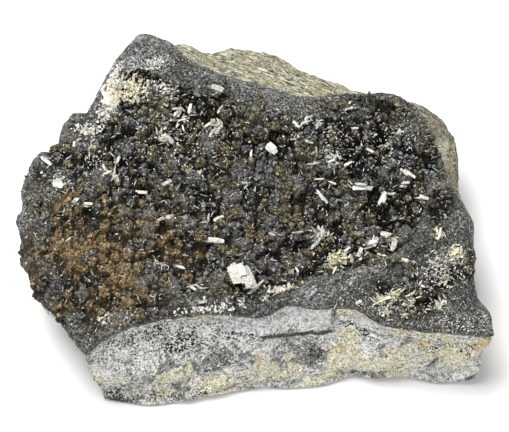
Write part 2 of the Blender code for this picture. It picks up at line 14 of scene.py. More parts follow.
import bpy
import numpy as np
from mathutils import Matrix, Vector
from mathutils.geometry import delaunay_2d_cdt


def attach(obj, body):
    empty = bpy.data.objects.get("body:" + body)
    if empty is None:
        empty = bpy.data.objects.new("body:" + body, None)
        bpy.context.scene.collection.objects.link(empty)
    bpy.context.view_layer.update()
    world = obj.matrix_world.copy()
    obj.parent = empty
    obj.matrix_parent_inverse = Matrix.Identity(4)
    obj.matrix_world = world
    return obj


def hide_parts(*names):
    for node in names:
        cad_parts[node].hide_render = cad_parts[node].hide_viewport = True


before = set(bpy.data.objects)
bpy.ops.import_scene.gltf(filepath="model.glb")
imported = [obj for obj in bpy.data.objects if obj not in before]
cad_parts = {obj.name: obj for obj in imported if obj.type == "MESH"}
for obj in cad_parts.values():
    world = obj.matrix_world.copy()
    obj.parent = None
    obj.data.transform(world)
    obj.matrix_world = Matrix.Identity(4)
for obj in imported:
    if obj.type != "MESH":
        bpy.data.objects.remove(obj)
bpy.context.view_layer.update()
MM = 0.001

# %% [markdown]
# ## The outline, station by station
#
# A broken rock has no formula of its own, so its outline is read off at chosen stations and a smooth curve is
# passed through them. Each station holds the galena's lower edge, the foot of the rock below it, and the place
# where the crystal crust stops; at the back and the right a shoulder comes second. The figures are the ones
# that the frame was built from, in millimetres, so the skins lie where the solids are.

# %% Stations round the block
FRONT = [
    ((-31.9, -31.9, 15.2), (-28.8, -33.3), (-33.4, -25.4)),
    ((-28.1, -29.5, 17.6), (-24.6, -34.0), (-29.6, -26.4)),
    ((-20.1, -26.8, 19.0), (-19.5, -34.6), (-23.0, -24.2)),
    ((-10.6, -25.7, 19.5), (-10.6, -33.1), (-13.6, -22.6)),
    ((-4.0, -25.3, 19.0), (-3.0, -31.6), (-6.8, -22.4)),
    ((1.1, -26.0, 19.0), (1.3, -30.8), (-1.6, -22.4)),
    ((5.3, -23.6, 19.0), (5.6, -31.0), (2.6, -21.0)),
    ((12.2, -24.2, 19.0), (12.5, -30.4), (7.6, -20.0)),
    ((17.6, -23.9, 18.6), (17.8, -28.6), (12.2, -18.4)),
    ((20.3, -24.6, 18.3), (21.0, -28.8), (15.0, -18.6)),
    ((23.4, -26.8, 18.0), (24.0, -29.0), (17.4, -18.2)),
    ((28.3, -27.8, 17.5), (28.3, -28.7), (20.4, -17.2)),
    ((35.0, -28.1, 17.0), (35.0, -29.9), (23.8, -15.6)),
    ((44.1, -28.5, 16.0), (43.2, -28.6, 12.8), (41.0, -29.2), (27.4, -13.4)),
]
RIGHT = [
    ((44.1, -28.5, 16.0), (43.2, -28.6, 12.8), (41.0, -29.2), (27.4, -13.4)),
    ((42.7, -24.4, 16.5), (43.4, -24.2, 14.0), (41.8, -25.2), (28.4, -11.2)),
    ((40.6, -20.3, 17.0), (41.6, -19.6, 15.0), (39.8, -19.6), (29.4, -9.8)),
    ((40.4, -12.5, 17.0), (41.4, -12.0, 15.0), (39.2, -12.0), (30.8, -7.4)),
    ((40.2, -6.1, 17.5), (41.1, -5.4, 15.2), (38.4, -5.4), (32.2, -4.2)),
    ((38.5, -2.1, 18.0), (39.6, -0.6, 16.0), (37.0, -0.4), (32.8, -1.2)),
    ((36.0, 1.6, 19.5), (38.7, 4.2, 16.5), (36.2, 4.2), (32.6, 2.2)),
    ((34.4, 6.7, 20.0), (38.9, 9.6, 17.0), (35.6, 9.0), (31.8, 6.4)),
    ((32.8, 12.2, 20.5), (38.6, 14.6, 17.5), (34.2, 13.0), (30.6, 10.6)),
    ((29.6, 17.6, 21.0), (35.2, 19.0, 18.0), (31.5, 16.6), (28.6, 13.6)),
]
BACK = [
    ((-22.0, 32.0, 23.0), (-22.2, 34.0, 20.5), (-20.6, 29.6), (-24.3, 24.2)),
    ((-17.3, 30.6, 23.0), (-17.3, 34.6, 20.0), (-16.0, 30.2), (-20.4, 24.6)),
    ((-13.3, 27.0, 22.5), (-13.8, 35.0, 19.6), (-11.5, 29.8), (-16.4, 22.8)),
    ((-9.3, 24.8, 22.0), (-10.0, 32.9, 18.6), (-8.0, 29.4), (-12.2, 20.8)),
    ((-3.0, 22.5, 22.0), (-2.2, 35.0, 18.0), (-2.0, 30.6), (-6.0, 18.6)),
    ((3.0, 20.8, 21.5), (4.0, 33.4, 18.0), (3.6, 29.8), (0.0, 17.6)),
    ((8.4, 19.2, 21.5), (9.0, 30.4, 17.5), (8.8, 27.0), (5.4, 15.4)),
    ((14.1, 19.4, 21.5), (14.6, 27.6, 17.5), (14.0, 24.4), (11.0, 14.8)),
    ((20.1, 19.8, 21.5), (20.6, 24.8, 18.0), (19.8, 21.6), (16.8, 15.2)),
    ((25.8, 19.8, 21.5), (27.0, 22.8, 18.4), (25.6, 19.8), (23.0, 15.8)),
    ((29.6, 17.6, 21.0), (35.2, 19.0, 18.0), (31.5, 16.6), (28.6, 13.6)),
]
LEFT = [
    ((-31.9, -31.9, 15.2), (-28.8, -33.3), (-33.4, -25.4)),
    ((-36.1, -25.5, 15.3), (-30.6, -26.6), (-35.4, -23.6)),
    ((-40.3, -20.4, 15.2), (-34.4, -20.2), (-37.0, -19.6)),
    ((-42.7, -14.6, 15.1), (-37.2, -13.6), (-38.6, -14.4)),
    ((-43.9, -8.2, 15.2), (-39.0, -7.6), (-39.2, -8.6)),
    ((-44.2, -4.2, 15.2), (-39.8, -3.6), (-38.8, -4.4)),
    ((-43.5, -1.0, 15.4), (-40.0, 0.2), (-37.4, -1.6)),
    ((-43.8, 2.7, 15.8), (-39.4, 4.4), (-36.6, 1.6)),
    ((-41.9, 6.9, 16.6), (-37.4, 8.8), (-35.8, 5.6)),
    ((-37.8, 9.4, 17.2), (-34.6, 12.4), (-34.0, 8.8)),
    ((-36.6, 12.8, 17.6), (-32.2, 15.6), (-31.8, 11.0)),
    ((-35.0, 14.7, 18.2), (-30.4, 18.2), (-30.4, 13.0)),
    ((-31.9, 16.3, 18.8), (-28.4, 20.4), (-29.4, 15.2)),
    ((-30.0, 20.2, 19.4), (-26.8, 22.4), (-28.2, 17.2)),
    ((-28.3, 23.7, 20.4), (-25.2, 24.8), (-27.2, 19.2)),
    ((-26.2, 26.9, 21.6), (-23.4, 27.2), (-26.4, 21.2)),
    ((-23.8, 29.7, 22.6), (-22.0, 28.8), (-25.4, 23.0)),
    ((-22.0, 32.0, 23.0), (-20.6, 29.6), (-24.3, 24.2)),
]
# The frame's origin, in the stations' coordinates.
MIDDLE = np.array([-0.14, 0.235, 0.0])
print("stations:", sum(map(len, (FRONT, RIGHT, BACK, LEFT))) - 4)

# %% [markdown]
# ## Smooth curves, sides and loops
#
# The stations are joined by Catmull-Rom cubics and sampled at even steps. A finer sampling of the same curve
# gives a finer skin, so one function serves the rough solids and the fine surface alike.


# %% Curves and patches
STRETCH_SAMPLES = 80


def curve_through(stations, count):
    """count rows, evenly spaced in plan, on the curve that passes through the stations in turn. Each stretch
    is a cubic whose slope at a station is half the step between that station's neighbours."""
    knots = np.array(stations, float)
    before = np.vstack([2 * knots[0] - knots[1], knots[:-1]])
    after = np.vstack([knots[1:], 2 * knots[-1] - knots[-2]])
    slope = (after - before) / 2
    t = np.linspace(0, 1, STRETCH_SAMPLES, endpoint=False)[None, :, None]
    start, end = knots[:-1, None], knots[1:, None]
    leave, arrive = slope[:-1, None], slope[1:, None]
    fine = (
        start * (2 * t**3 - 3 * t**2 + 1) + leave * (t**3 - 2 * t**2 + t)
        + end * (3 * t**2 - 2 * t**3) + arrive * (t**3 - t**2)
    )
    fine = np.vstack([fine.reshape(-1, knots.shape[1]), knots[-1:]])
    run = np.concatenate([[0], np.cumsum(np.hypot(*np.diff(fine[:, :2], axis=0).T))])
    wanted = np.linspace(0, run[-1], count)
    return np.column_stack([np.interp(wanted, run, column) for column in fine.T])


def full_rows(stations):
    """Each station as ten numbers: edge x y z, shoulder x y z, foot x y, crust x y. Where no shoulder is given
    it lies just under the edge, a twentieth of the way over to the foot."""
    lean, drop = 0.05, 2.2
    rows = []
    for edge, *shoulder, foot, crust in stations:
        if not shoulder:
            towards = [e + (f - e) * lean for e, f in zip(edge, foot)]
            shoulder = [(*towards, edge[2] - drop)]
        rows.append((*edge, *shoulder[0], *foot, *crust))
    return rows


def four_sides(along, across):
    """A curve through each side's stations: along rows for the front and the back, across rows for the others."""
    sides = (FRONT, along), (RIGHT, across), (BACK, along), (LEFT, across)
    return [curve_through(full_rows(stations), count) for stations, count in sides]


def round_the_block(front, right, back, left):
    """The four sides as one closed loop: along the front, up the right, back along the rear, down the left."""
    return np.vstack([front[:-1], right[:-1], back[::-1][:-1], left[::-1][:-1]])


def patch(front, right, back, left):
    """A Coons patch: the two ruled surfaces between opposite sides, less the one their corners span."""
    u = np.linspace(0, 1, len(front))[:, None, None]
    v = np.linspace(0, 1, len(left))[None, :, None]
    ruled = (1 - v) * front[:, None] + v * back[:, None] + (1 - u) * left[None] + u * right[None]
    corners = (
        (1 - u) * (1 - v) * front[0] + u * (1 - v) * front[-1]
        + (1 - u) * v * back[0] + u * v * back[-1]
    )
    return ruled - corners


FINE_COUNTS, COARSE_COUNTS = (290, 200), (110, 74)
fine_loop = round_the_block(*four_sides(*FINE_COUNTS))
coarse_loop = round_the_block(*four_sides(*COARSE_COUNTS))
print("points round the fine outline:", len(fine_loop))

# %% [markdown]
# ## Noise, in three kinds
#
# Rock is rough at every size. Smooth lattice noise gives swells and unevenness, its folded form gives sharp
# edges, and cellular noise gives packed grains. All three work on whole arrays of points, and a hash of the
# cell's own numbers picks each random value, so the result is the same on every run.


# %% Noise
TABLE_SIZE = 4096
PRIMES = 73856093, 19349663, 83492791
CENTRE_SPREAD = 0.38


def cell_key(i):
    """A place in the table of random values for each lattice cell: the products of its indices and the primes,
    combined bit by bit."""
    key = i[..., 0] * PRIMES[0]
    for axis in range(1, i.shape[-1]):
        key = key ^ (i[..., axis] * PRIMES[axis])
    return key & (TABLE_SIZE - 1)


def on_level(x, y):
    """Points in plan as points in space, all at the height 0."""
    return np.stack([x, y, np.zeros_like(x)], axis=-1)


def swelling(points, cell, seed):
    """Smooth noise from -1 to 1: random values on a cubic lattice with this spacing, eased between corners."""
    table = np.random.RandomState(seed).uniform(-1, 1, TABLE_SIZE)
    place = np.asarray(points, float) / cell
    corner = np.floor(place).astype(np.int64)
    share = place - corner
    share = share * share * (3 - 2 * share)
    total = np.zeros(place.shape[:-1])
    for step in np.ndindex(2, 2, 2):
        weight = np.prod(np.where(step, share, 1 - share), axis=-1)
        total += weight * table[cell_key(corner + np.array(step))]
    return total


def roughness(points, sizes, seed):
    """Several swellings added up, one for each pair of cell size and height."""
    return sum(height * swelling(points, cell, seed + n) for n, (cell, height) in enumerate(sizes))


def cells(points, spacing, seed):
    """Packed grains: distance from each point to the nearest and the second nearest grain centre, in spacings,
    and the nearest grain's own random number. Every lattice cell holds one centre, moved off its middle."""
    size = points.shape[-1]
    own = np.random.RandomState(seed)
    offset = own.uniform(0.5 - CENTRE_SPREAD, 0.5 + CENTRE_SPREAD, (TABLE_SIZE, size))
    value = own.uniform(0, 1, TABLE_SIZE)
    place = points / spacing
    cell = np.floor(place).astype(np.int64)
    first = np.full(place.shape[:-1], np.inf)
    second, number = first.copy(), np.zeros(place.shape[:-1])
    for step in np.ndindex(*(3,) * size):
        i = cell + np.array(step) - 1
        key = cell_key(i)
        away = np.linalg.norm(i + offset[key] - place, axis=-1)
        closer = away < first
        second = np.where(closer, first, np.minimum(second, away))
        number = np.where(closer, value[key], number)
        first = np.where(closer, away, first)
    return first, second, number


def bent(points, amount, cell, seed):
    """The points pushed about by slow noise, so that whatever is cut from them has crooked borders."""
    level = points if points.shape[-1] == 3 else on_level(*points.T)
    push = [swelling(level, cell, seed + k) for k in range(points.shape[-1])]
    return points + amount * np.stack(push, axis=-1)


def lumps(plan, spacing, seed):
    """Height from 0 to 1 of packed crystal lumps: 1 at each lump's own point, falling to the seams."""
    return np.clip(1 - cells(plan, spacing, seed)[0], 0, 1)


def turned_back(x, y, heading):
    """Lengths along a heading in degrees and aside from it: x cos + y sin, and y cos - x sin."""
    turn = math.radians(heading)
    return x * math.cos(turn) + y * math.sin(turn), y * math.cos(turn) - x * math.sin(turn)


def turned_out(along, aside, heading):
    """Places in plan from lengths along headings in degrees and aside from them, the reverse of turned_back."""
    turn = np.radians(heading)
    return np.column_stack([
        along * np.cos(turn) - aside * np.sin(turn), along * np.sin(turn) + aside * np.cos(turn)
    ])


def swell_of(x, y, form):
    """One named swell: a flat-topped bell over an ellipse that is turned to its heading. It is the height times
    e to minus the 2.5th power of the distance from the middle, counted in half lengths and half widths."""
    _, cx, cy, half_length, half_width, heading, height = form
    along, aside = turned_back(x - cx, y - cy, heading)
    return height * np.exp(-(((along / half_length)**2 + (aside / half_width)**2) ** 1.25))


sample = swelling(np.random.RandomState(1).uniform(0, 50, (1000, 3)), 5.0, 1)
print("a thousand samples of the noise run from", round(sample.min(), 2), "to", round(sample.max(), 2))

# %% [markdown]
# ## The height of the top
#
# The crystal face is a gently tilted sheet with a shallow hollow in it. Swells, ridges, lobes and pockets are
# added by name, each a bell over a turned ellipse, so that one of them can be moved without touching the rest.

# %% The top's height
TOP_X = (-35.0, 40.0)
TOP_Y = (-30.0, 28.0)
TOP_FRONT_LEFT, TOP_FRONT_RIGHT, TOP_BACK_LEFT, TOP_BACK_RIGHT = 22.6, 19.8, 26.0, 23.4
TOP_FORMS = [
    ("peak knob", -22.0, 28.5, 7.0, 5.0, 0, 1.9),
    ("left droop", -45.0, -5.0, 9.0, 18.0, 0, -4.4),
    ("left front droop", -36.0, -30.0, 10.0, 9.0, 0, -3.4),
    ("back swell", -1.0, 18.6, 20.0, 3.6, -17, 1.2),
    ("back right swell", 18.0, 17.0, 9.0, 3.0, 6, 0.9),
    ("main hollow", -1.0, 0.0, 27.0, 13.0, -4, -2.6),
    ("deep pocket", 27.0, -2.0, 6.5, 5.0, 20, -1.9),
    ("upper pocket", 10.0, 6.0, 7.0, 4.0, 0, -0.9),
    ("brown basin", -27.0, -13.0, 10.0, 9.0, 0, -1.5),
    ("front crevice", -17.0, -20.6, 9.5, 1.8, 8, -1.7),
    ("galena ridge", 16.6, -20.4, 12.5, 3.0, 24, 2.6),
    ("right lobe", 36.0, -9.0, 5.5, 7.0, 0, 1.7),
    ("right upper lobe", 38.6, -3.0, 3.4, 3.0, 0, 1.1),
    ("front right basin", 29.0, -23.4, 6.5, 3.2, 0, -2.3),
    ("left upper lobe", -35.2, 14.6, 2.9, 2.8, 0, 1.9),
    ("left lobe", -41.4, 3.4, 3.6, 3.8, 0, 2.0),
    ("left low lobe", -42.4, -12.0, 2.6, 3.6, 0, 1.0),
    ("grey lump", -30.4, 2.6, 3.4, 3.6, 0, 1.5),
    ("upper grey lump", -25.4, 11.4, 3.6, 3.0, 0, 1.3),
    ("middle lump", -3.0, 8.0, 3.4, 3.0, 0, 0.8),
    ("lower lump", -4.0, -17.0, 4.4, 3.0, 0, 0.9),
]
TOP_ROUGH_SIZES = ((7.0, 0.35),)
TOP_ROUGH_SEED = 8


def top_height(x, y):
    """A sheet spread over four corner heights, plus gentle roughness, plus every named swell."""
    u = (x - TOP_X[0]) / (TOP_X[1] - TOP_X[0])
    v = (y - TOP_Y[0]) / (TOP_Y[1] - TOP_Y[0])
    sheet = (
        (1 - u) * (1 - v) * TOP_FRONT_LEFT + u * (1 - v) * TOP_FRONT_RIGHT
        + (1 - u) * v * TOP_BACK_LEFT + u * v * TOP_BACK_RIGHT
    )
    rough = roughness(on_level(x, y), TOP_ROUGH_SIZES, TOP_ROUGH_SEED)
    return sheet + rough + sum(swell_of(x, y, form) for form in TOP_FORMS)


peak_height, hollow_height = top_height(np.array([-22.0, -1.0]), np.array([28.5, 0.0]))
print("height at the peak and in the hollow, in millimetres:", round(peak_height, 1), round(hollow_height, 1))

# %% [markdown]
# ## Distances, insides and fills
#
# Three small tools on loops: how far a point is from one, whether it lies inside, and triangles that fill one
# where the surface is hidden.


# %% Loops
TINY = 1e-9
WELD = 1e-7


def nearest_on(loop, points, block=3000):
    """Distance in plan from each point to a closed loop, and the loop's height at the nearest place. Points
    are taken in blocks, so that the table of all pairs stays small."""
    start = loop
    run = np.roll(loop, -1, axis=0) - start
    flat_run = run[:, :2]
    away, height = np.zeros(len(points)), np.zeros(len(points))
    for first in range(0, len(points), block):
        some = points[first:first + block, :2]
        reach = some[:, None] - start[None, :, :2]
        share = np.clip((reach * flat_run).sum(-1) / (flat_run**2).sum(-1), 0, 1)
        gap = np.linalg.norm(reach - share[..., None] * flat_run, axis=-1)
        best = gap.argmin(axis=1)
        rows = np.arange(len(some))
        away[first:first + block] = gap[rows, best]
        height[first:first + block] = start[best, 2] + share[rows, best] * run[best, 2]
    return away, height


def is_inside(loop, points, block=4000):
    """True where a straight line to the right crosses the loop an odd number of times."""
    x, y = loop[:, 0], loop[:, 1]
    ahead_x, ahead_y = np.roll(x, -1), np.roll(y, -1)
    slope = (ahead_x - x) / np.where(ahead_y == y, TINY, ahead_y - y)
    inside = np.zeros(len(points), bool)
    for first in range(0, len(points), block):
        px, py = points[first:first + block, 0, None], points[first:first + block, 1, None]
        crosses = ((y > py) != (ahead_y > py)) & (px < x + (py - y) * slope)
        inside[first:first + block] = crosses.sum(axis=1) % 2 == 1
    return inside


def with_height(plan, height):
    """Places in plan as points, with one height for all or a height for each."""
    return np.column_stack([plan, np.broadcast_to(height, len(plan))])


def outward(loop):
    """Unit vectors in plan, square to a counter-clockwise loop, pointing away from it."""
    along = np.roll(loop[:, :2], -2, axis=0) - np.roll(loop[:, :2], 2, axis=0)
    away = np.column_stack([along[:, 1], -along[:, 0]])
    return away / np.maximum(np.linalg.norm(away, axis=1, keepdims=True), TINY)


def eased(loop, times):
    """The loop with each point drawn half-way to its neighbours' mean, the given number of times."""
    for _ in range(times):
        loop = loop / 2 + (np.roll(loop, 1, axis=0) + np.roll(loop, -1, axis=0)) / 4
    return loop


def filling(plan):
    """Corners of the Delaunay triangles that fill a loop in plan. A loop that crossed itself would add points."""
    edges = [(i, (i + 1) % len(plan)) for i in range(len(plan))]
    made, _, triangles, *_ = delaunay_2d_cdt([tuple(p) for p in plan.tolist()], edges, [], 1, WELD)
    assert len(made) == len(plan), "the loop crosses itself"
    return np.array(triangles)


print("triangles that fill the coarse outline:", len(filling(coarse_loop[:, :2])))

# %% [markdown]
# ## From arrays to meshes
#
# A skin is a stack of rings, each with the same number of points, so its faces follow from its size alone.
# Relief is added along the skin's own normals, which the cross product of its two directions gives.


# %% Mesh helpers
def ring_quads(rings, count):
    """Corners of the quads between rings that close on themselves, numbered ring by ring."""
    i, j = np.meshgrid(np.arange(rings - 1), np.arange(count), indexing="ij")
    after = (j + 1) % count
    quads = np.stack([i * count + j, i * count + after, (i + 1) * count + after, (i + 1) * count + j], -1)
    return quads.reshape(-1, 4)


def ring_normals(rings):
    """Unit normals of stacked rings: the direction round the ring crossed with the direction up the stack."""
    around = np.roll(rings, -1, axis=1) - np.roll(rings, 1, axis=1)
    normal = np.cross(around, np.gradient(rings, axis=0))
    return normal / np.maximum(np.linalg.norm(normal, axis=-1, keepdims=True), TINY)


def raised(rings, relief, amount):
    """The rings moved along their normals by the relief at each point, times the amount of each ring."""
    return rings + ring_normals(rings) * (relief * amount[:, None])[..., None]


def closed_stack(rings):
    """Faces of a whole skin: quads between its rings, and triangles that fill the lowest and the highest."""
    depth, count = rings.shape[:2]
    bottom = filling(rings[0, :, :2])[:, ::-1]
    top = filling(rings[-1, :, :2]) + (depth - 1) * count
    return [ring_quads(depth, count), bottom, top]


def add_piece(name, points, faces, material, smooth=True, fields=None):
    """A mesh object from points in millimetres and arrays of face corners, with its number fields."""
    mesh = bpy.data.meshes.new(name)
    mesh.vertices.add(len(points))
    mesh.vertices.foreach_set("co", ((points - MIDDLE) * MM).astype(np.float32).ravel())
    corners = np.concatenate([part.ravel() for part in faces])
    sizes = np.concatenate([np.full(len(part), part.shape[1]) for part in faces])
    mesh.loops.add(len(corners))
    mesh.loops.foreach_set("vertex_index", corners.astype(np.int32))
    mesh.polygons.add(len(sizes))
    mesh.polygons.foreach_set("loop_start", np.concatenate([[0], np.cumsum(sizes)[:-1]]).astype(np.int32))
    mesh.update(calc_edges=True)
    for key, values in (fields or {}).items():
        mesh.attributes.new(key, "FLOAT", "POINT").data.foreach_set("value", values.astype(np.float32))
    if smooth:
        mesh.shade_smooth()
    else:
        mesh.shade_flat()
    mesh.materials.append(material)
    piece = bpy.data.objects.new(name, mesh)
    bpy.context.scene.collection.objects.link(piece)
    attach(piece, "root")
    print(name, "has", int((sizes - 2).sum()), "triangles")
    return piece


print("quads between three rings round the coarse outline:", len(ring_quads(3, len(coarse_loop))))

# %% [markdown]
# ## Colour fields
#
# Rust, buff and pale dust lie in patches on the real piece. A patch is a named ellipse with a soft, ragged
# border. The same patches colour the skins and the crystals on them, through a number stored at each point.

# %% Patches of colour
RUST = [
    ("rusty basin", -30.4, -14.6, 14.0, 12.0, 10, 1.0), ("rust over the basin", -37.0, -2.6, 3.6, 2.6, 0, 0.8),
    ("rust at the left edge", -42.4, -15.0, 4.6, 8.0, 0, 1.0),
    ("rust at the front left", -28.0, -25.0, 9.0, 5.0, 10, 0.85),
    ("rust to the crevice", -14.0, -15.0, 9.0, 7.0, 0, 0.6),
    ("rust in the middle", -2.0, -8.0, 9.0, 6.0, 0, 0.26), ("red grains", 7.6, -3.0, 3.0, 4.0, 0, 0.5),
    ("upper rust", -8.0, 7.0, 8.0, 4.0, -20, 0.2), ("rust under the ridge", 8.0, -12.0, 8.0, 4.0, 20, 0.38),
    ("rust between the lobes", -38.6, 8.2, 2.4, 2.6, 30, 0.3),
    ("rust on the left lobe", -42.0, -0.6, 3.0, 5.0, 0, 0.45),
    ("rust left of the middle", -17.0, -3.0, 6.0, 4.0, 0, 0.25),
]
DUST = [
    ("sugar by the peak", -17.7, 20.1, 3.2, 2.0, -30, 0.95),
    ("sugar under the peak", -28.5, 14.7, 2.2, 1.7, -50, 0.9),
    ("ring of sugar", -26.2, 24.4, 1.7, 1.3, 0, 0.7), ("sugar on the knob", -20.0, 25.0, 3.4, 1.6, 20, 0.45),
    ("sugar on the left lobe", -33.6, 11.4, 3.0, 2.6, 0, 0.55),
    ("sugar by the left edge", -37.0, 2.0, 2.0, 4.0, 0, 0.35),
    ("sugar on the right lobe", 36.0, -16.0, 4.0, 3.4, 0, 0.6),
    ("sugar in the low corner", 41.0, -26.0, 3.0, 3.0, 5, 0.5),
    ("sugar at the front", -10.0, -25.0, 15.0, 1.4, 4, 0.5), ("sugar in the corner", -30.0, -27.4, 2.0, 1.6, 40, 0.4),
    ("sugar in the basin", 31.0, -25.0, 7.0, 1.6, 0, 0.4), ("stain under the rim", 2.6, 19.6, 3.4, 1.3, -18, 0.6),
]
CREAM = [
    ("clotted cream", -23.4, 19.8, 3.7, 2.8, 10, 1.0), ("white curd", -27.2, 21.2, 2.4, 1.9, 20, 1.0),
    ("smooth curd", -27.7, 17.8, 1.7, 2.5, 10, 1.0), ("cream on the ridge", 16.0, -15.6, 3.6, 1.0, 14, 0.6),
    ("cream at the right edge", 38.0, -13.8, 1.6, 1.2, 0, 0.7),
]
# Painted highlight: paler sheen where light catches the smooth galena on the knob, the ridge, the right lobe's top
# and two bands.
SHEEN_PATCHES = [
    ("knob", -21.0, 28.0, 7.0, 4.6, 0, 1.0), ("ridge", 15.0, -20.0, 12.0, 2.4, 24, 1.0),
    ("right lobe", 38.0, -6.4, 2.4, 2.6, 0, 0.25), ("back band", -6.0, 24.0, 10.0, 2.0, -22, 0.5),
    ("second band", 12.0, 20.0, 10.0, 1.4, 0, 0.35),
]
CRUSTY = [
    ("front left ground", -25.0, -26.0, 10.0, 3.4, 14, 1.0), ("left corner ground", -33.0, -24.0, 4.5, 7.0, -35, 1.0),
    ("left low ground", -42.0, -14.0, 5.0, 9.6, 0, 1.1), ("front middle ground", -6.0, -24.2, 12.0, 2.0, 2, 0.9),
    ("front right basin", 28.9, -22.4, 7.5, 3.6, 4, 1.0), ("right speckled ground", 33.0, -16.6, 7.6, 5.4, 0, 1.0),
    ("back right ground", 20.0, 17.0, 9.0, 3.2, 2, 1.0), ("upper right ground", 32.4, 7.4, 3.8, 8.6, -22, 0.95),
    ("between the left lobes", -38.2, 7.6, 2.6, 2.8, 40, 1.0), ("back left ground", -9.0, 20.6, 8.0, 2.2, -20, 0.7),
    ("low right ground", 37.0, -21.0, 5.0, 4.0, 0, 0.5), ("over the basin", -39.4, -4.0, 3.6, 2.2, 0, 1.0),
    ("right upper ground", 34.6, -3.6, 2.6, 5.4, 0, 0.9), ("left lobes' ground", -42.4, 0.6, 3.2, 6.0, 0, 0.9),
]
RAGGED_SIZES = ((3.4, 1.0), (1.3, 0.6))


def patches(x, y, forms, ragged=0.35, seed=31):
    """The strongest of the named ellipses at each point, its border broken up by noise, from 0 to 1."""
    broken = ragged * roughness(on_level(x, y), RAGGED_SIZES, seed)
    strongest = np.max([swell_of(x, y, form) for form in forms], axis=0)
    return np.clip(strongest * (1 + broken) + broken * np.minimum(strongest * 3, 1) * 0.5, 0, 1)


def rustiness(x, y):
    """How rusty each place is."""
    return patches(x, y, RUST)


def crustiness(x, y):
    """How far the crust's ground has spread over each place on the galena."""
    return patches(x, y, CRUSTY, 0.6, 29)


def creaminess(x, y):
    """How much cream curd covers each place."""
    return patches(x, y, CREAM, 0.5, 35)


print("patches of colour on the top:", sum(map(len, (RUST, DUST, CREAM, SHEEN_PATCHES, CRUSTY))))

# %% [markdown]
# ## Shared shader groups
#
# Two effects serve every rock material. "Mineral grain" gives a tone that varies from grain to grain with the
# bump that belongs to it. "Specks" gives small hard-edged spots of another mineral, the more of them the
# higher its amount. Both read Object coordinates, so nothing slides over the surface.


# %% Shader groups
def socket(tree, name, way, kind, value=None):
    """A named input or output of a group, with its usual value."""
    made = tree.interface.new_socket(name, in_out=way, socket_type=kind)
    if value is not None:
        made.default_value = value


def feed(tree, target, value):
    """Links another node's output to an input, or else sets the input's own value."""
    if isinstance(value, bpy.types.NodeSocket):
        tree.links.new(value, target)
    else:
        target.default_value = value


def add_node(tree, kind, settings=None, **inputs):
    """A node with its settings, and with inputs given by name, or by number after a low line."""
    node = tree.nodes.new(kind)
    for name, value in (settings or {}).items():
        setattr(node, name, value)
    for name, value in inputs.items():
        target = node.inputs[int(name[1:])] if name[0] == "_" else node.inputs[name.replace("_", " ")]
        feed(tree, target, value)
    return node


def math_node(tree, operation, first, second=0.0, clamp=False):
    """The outcome of one sum, product or power, held between 0 and 1 where it is clamped."""
    settings = {"operation": operation, "use_clamp": clamp}
    return add_node(tree, "ShaderNodeMath", settings, _0=first, _1=second).outputs[0]


def mixed(tree, factor, first, second):
    """Two colours blended by a factor from 0 to 1."""
    node = add_node(tree, "ShaderNodeMix", {"data_type": "RGBA"}, _0=factor)
    for value, place in ((first, 6), (second, 7)):
        feed(tree, node.inputs[place], (*value, 1.0) if isinstance(value, tuple) else value)
    return node.outputs[2]


def stretched(tree, value, low, high):
    """A value mapped so that low becomes 0 and high becomes 1, and held between them."""
    return add_node(tree, "ShaderNodeMapRange", {"clamp": True}, _0=value, _1=low, _2=high).outputs[0]


def build_grain_group():
    """Tone: noise of two sizes mixed with each grain's own random tone, and its contrast raised. Clouds: slow
    noise. Normal: the same relief as a bump."""
    tree = bpy.data.node_groups.new("Mineral grain", "ShaderNodeTree")
    for name, value in (("Grain Scale", 1400.0), ("Cloud Scale", 160.0), ("Bump Strength", 0.5)):
        socket(tree, name, "INPUT", "NodeSocketFloat", value)
    for name, kind in (("Tone", "Float"), ("Clouds", "Float"), ("Normal", "Vector")):
        socket(tree, name, "OUTPUT", "NodeSocket" + kind)
    given = tree.nodes.new("NodeGroupInput").outputs
    place = tree.nodes.new("ShaderNodeTexCoord").outputs["Object"]
    grains = add_node(tree, "ShaderNodeTexVoronoi", None, Vector=place, Scale=given["Grain Scale"])
    own = add_node(tree, "ShaderNodeSeparateColor", None, Color=grains.outputs["Color"]).outputs[0]
    fine, clouds = (
        add_node(tree, "ShaderNodeTexNoise", None, Vector=place, Scale=given[scale], Detail=detail).outputs[0]
        for scale, detail in (("Grain Scale", 2.0), ("Cloud Scale", 5.0))
    )
    sharp = stretched(tree, fine, 0.36, 0.64)
    tone = math_node(tree, "ADD", math_node(tree, "MULTIPLY", own, 0.6), math_node(tree, "MULTIPLY", sharp, 0.4))
    height = math_node(tree, "SUBTRACT", fine, math_node(tree, "MULTIPLY", grains.outputs["Distance"], 0.6))
    bump = add_node(tree, "ShaderNodeBump", None, Strength=given["Bump Strength"], Distance=0.0004, Height=height)
    result = tree.nodes.new("NodeGroupOutput").inputs
    tree.links.new(stretched(tree, tone, 0.2, 0.8), result["Tone"])
    tree.links.new(stretched(tree, clouds, 0.38, 0.62), result["Clouds"])
    tree.links.new(bump.outputs[0], result["Normal"])
    return tree


def build_speck_group():
    """Mask: 1 where a noise stands over a threshold that falls as the amount rises."""
    tree = bpy.data.node_groups.new("Specks", "ShaderNodeTree")
    socket(tree, "Scale", "INPUT", "NodeSocketFloat", 1800.0)
    socket(tree, "Amount", "INPUT", "NodeSocketFloat", 0.3)
    socket(tree, "Mask", "OUTPUT", "NodeSocketFloat")
    given = tree.nodes.new("NodeGroupInput").outputs
    place = tree.nodes.new("ShaderNodeTexCoord").outputs["Object"]
    noise = add_node(tree, "ShaderNodeTexNoise", None, Vector=place, Scale=given["Scale"], Detail=1.5).outputs[0]
    over = math_node(tree, "ADD", noise, math_node(tree, "MULTIPLY", given["Amount"], 0.25))
    tree.links.new(stretched(tree, over, 0.735, 0.765), tree.nodes.new("NodeGroupOutput").inputs["Mask"])
    return tree


